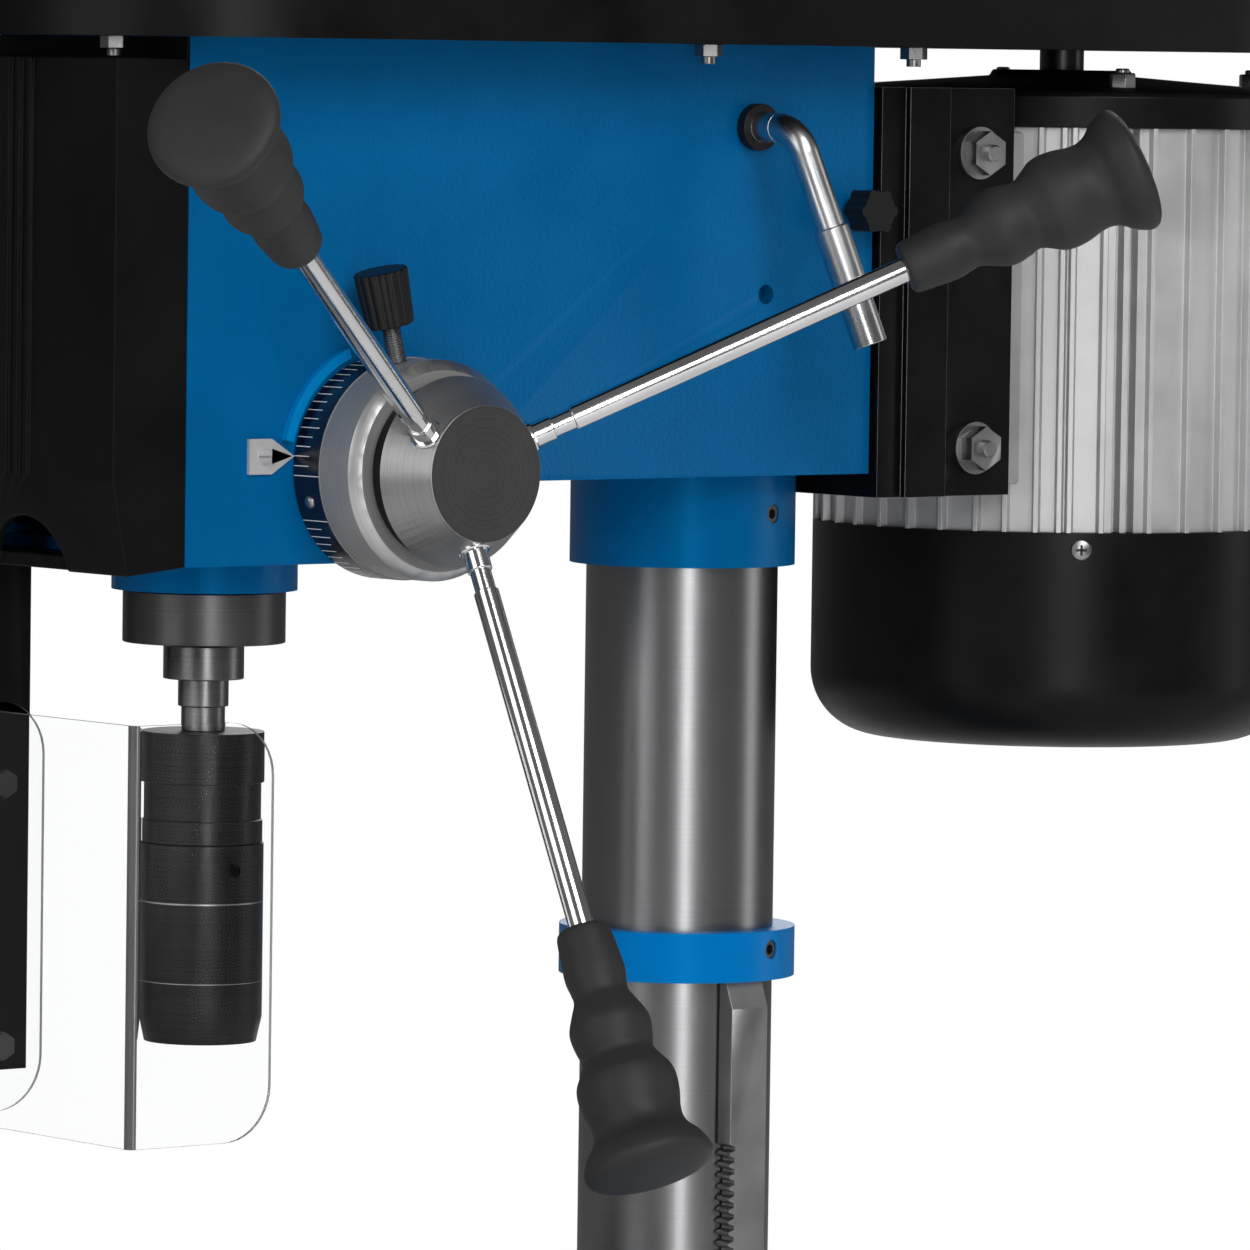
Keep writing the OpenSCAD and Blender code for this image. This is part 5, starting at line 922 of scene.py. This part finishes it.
class DRILL_OT_fittings(DrillOperator, bpy.types.Operator):
    """Finish levers, knobs and screws"""
    bl_idname = "drill.fittings"
    bl_label = "Fittings"

    def make(self, sizes, colours):
        lever = soften("tension_lever", "satin", 0.5 * MM, 2, 40)
        paint_where(lever, ("plastic", lambda p, n: WASHER_X[0] < p.x < WASHER_X[1]
                            and (math.hypot(p.y - LEVER_Y, p.z - LEVER_Z) > WASHER_HOLE_R
                                 or (p.x > WASHER_FACE_X and n.x > 0.9))))
        keep("slide_lock_knob", "plastic")
        soften("hex_bolts", "zinc", 0.4 * MM, 2)
        soften("motor_bolts", "zinc", 0.5 * MM, 2)
        soften("depth_pointer", "plate", 0.2 * MM, 2)
        bm = bmesh.new()
        mark = bmesh.ops.create_circle(bm, cap_ends=True, segments=3, radius=1)
        for vert, (y, z) in zip(mark["verts"], POINTER_MARK):
            vert.co = (POINTER_MARK_X * MM, y * MM, z * MM)
        bmesh.ops.solidify(bm, geom=bm.faces, thickness=-POINTER_MARK_T * MM)
        finish_piece("pointer_mark", bm, "dark", "frame")


class DRILL_OT_inner(DrillOperator, bpy.types.Operator):
    """Finish the pieces inside the covers"""
    bl_idname = "drill.inner"
    bl_label = "Inner pieces"

    def make(self, sizes, colours):
        for node in ("spindle_pulley", "idler_pulley", "motor_pulley"):
            keep(node, "pulley")
        for node in ("spindle_belt", "motor_belt"):
            keep(node, "belt")
        for node in ("drive_sleeve", "head_bearings", "quill_bearings", "idler_arm"):
            keep(node, "ground")
        keep("return_spring", "spring")


class DRILL_OT_stage(DrillOperator, bpy.types.Operator):
    """Make the floor, the lights and the camera"""
    bl_idname = "drill.stage"
    bl_label = "Stage"

    def make(self, sizes, colours):
        make_floor()
        make_lights()
        make_camera()


def make_floor():
    """A pale floor that fades to plain white far from the machine."""
    bm = bmesh.new()
    bmesh.ops.create_grid(bm, x_segments=1, y_segments=1, size=FLOOR_HALF)
    mesh = bpy.data.meshes.new("floor")
    bm.to_mesh(mesh)
    bm.free()
    floor = bpy.data.objects.new("floor", mesh)
    bpy.context.scene.collection.objects.link(floor)
    mat, tree, shader = principled("floor", (0.95, 0.95, 0.95), 0.0, 0.8)
    coords = scaled_coords(tree)
    far = add(tree, "ShaderNodeVectorMath", operation="LENGTH")
    tree.links.new(coords, far.inputs[0])
    fade = to_range(tree, far.outputs["Value"], 0, 1, *FLOOR_FADE)
    path = add(tree, "ShaderNodeLightPath")
    both = add(tree, "ShaderNodeMath", operation="MULTIPLY")
    tree.links.new(fade, both.inputs[0])
    tree.links.new(path.outputs["Is Camera Ray"], both.inputs[1])
    white = add(tree, "ShaderNodeEmission")
    white.inputs["Color"].default_value = (1, 1, 1, 1)
    mix = add(tree, "ShaderNodeMixShader")
    out = tree.nodes["Material Output"]
    tree.links.new(both.outputs[0], mix.inputs[0])
    tree.links.new(shader.outputs[0], mix.inputs[1])
    tree.links.new(white.outputs[0], mix.inputs[2])
    tree.links.new(mix.outputs[0], out.inputs["Surface"])
    floor.data.materials.append(mat)


def area_lamp(name, place, size, power):
    """A soft rectangular lamp that points at the middle of the machine."""
    light = bpy.data.lights.new(name, "AREA")
    light.shape = "RECTANGLE"
    light.size, light.size_y = size
    light.energy = power
    light.spread = math.pi
    obj = bpy.data.objects.new(name, light)
    bpy.context.scene.collection.objects.link(obj)
    obj.location = place
    aim = Vector(LAMP_TARGET) - Vector(place)
    obj.rotation_euler = aim.to_track_quat("-Z", "Y").to_euler()


def make_lights():
    """A dim studio world that looks white to the camera and through the guard, and the lamps."""
    world = bpy.data.worlds.new("studio")
    bpy.context.scene.world = world
    world.use_nodes = True
    tree = world.node_tree
    back = tree.nodes["Background"]
    back.inputs["Color"].default_value = (1, 1, 1, 1)
    back.inputs["Strength"].default_value = AMBIENT
    white = add(tree, "ShaderNodeBackground")
    white.inputs["Color"].default_value = (1, 1, 1, 1)
    path = add(tree, "ShaderNodeLightPath")
    seen = add(tree, "ShaderNodeMath", operation="MAXIMUM")
    tree.links.new(path.outputs["Is Camera Ray"], seen.inputs[0])
    tree.links.new(path.outputs["Is Transmission Ray"], seen.inputs[1])
    mix = add(tree, "ShaderNodeMixShader")
    tree.links.new(seen.outputs[0], mix.inputs[0])
    tree.links.new(back.outputs[0], mix.inputs[1])
    tree.links.new(white.outputs[0], mix.inputs[2])
    tree.links.new(mix.outputs[0], tree.nodes["World Output"].inputs["Surface"])
    for name, place, size, power in LAMPS:
        area_lamp(name, place, size, power)


def make_camera():
    """The photograph's viewing angle, as the camera's right, up and back directions."""
    right = Vector((0.6243412, 0.78102731, 0.01394292))
    up = Vector((-0.05627232, 0.02716609, 0.99804581))
    back = Vector((0.77912226, -0.62390572, 0.06091112))
    data = bpy.data.cameras.new("camera")
    data.sensor_width = 36.0
    data.lens = LENS
    data.clip_end = 50.0
    cam = bpy.data.objects.new("camera", data)
    bpy.context.scene.collection.objects.link(cam)
    place = Matrix((right, up, back)).transposed().to_4x4()
    place.translation = Vector(CAMERA_PLACE)
    cam.matrix_world = place
    bpy.context.scene.camera = cam
    bpy.context.scene.view_settings.view_transform = "Standard"


class DRILL_PT_panel(bpy.types.Panel):
    """Lists the sizes, the colours and the operators"""
    bl_label = "Bench drill"
    bl_idname = "DRILL_PT_panel"
    bl_space_type = "VIEW_3D"
    bl_region_type = "UI"
    bl_category = "Drill"

    def draw(self, context):
        for group in (context.scene.drill_sizes, context.scene.drill_colours):
            for key in group.bl_rna.properties.keys():
                if key not in ("rna_type", "name"):
                    self.layout.prop(group, key)
        for op in OPERATORS:
            self.layout.operator(op.bl_idname)


OPERATORS = (
    DRILL_OT_materials, DRILL_OT_castings, DRILL_OT_sheet_metal, DRILL_OT_column,
    DRILL_OT_table, DRILL_OT_feed_hub, DRILL_OT_depth_scale, DRILL_OT_depth_lock,
    DRILL_OT_grips, DRILL_OT_chuck, DRILL_OT_motor, DRILL_OT_guard, DRILL_OT_fittings,
    DRILL_OT_inner, DRILL_OT_stage,
)
CLASSES = (DrillSizes, DrillColours, *OPERATORS, DRILL_PT_panel)


def register():
    """Adds the classes, and the sizes and colours to the scene."""
    for cls in CLASSES:
        bpy.utils.register_class(cls)
    bpy.types.Scene.drill_sizes = bpy.props.PointerProperty(type=DrillSizes)
    bpy.types.Scene.drill_colours = bpy.props.PointerProperty(type=DrillColours)


def unregister():
    """Takes them away again, in reverse order."""
    del bpy.types.Scene.drill_colours
    del bpy.types.Scene.drill_sizes
    for cls in reversed(CLASSES):
        bpy.utils.unregister_class(cls)


def main():
    """Makes the whole model."""
    register()
    for op in OPERATORS:
        group, name = op.bl_idname.split(".")
        getattr(getattr(bpy.ops, group), name)()


if __name__ == "__main__":
    main()
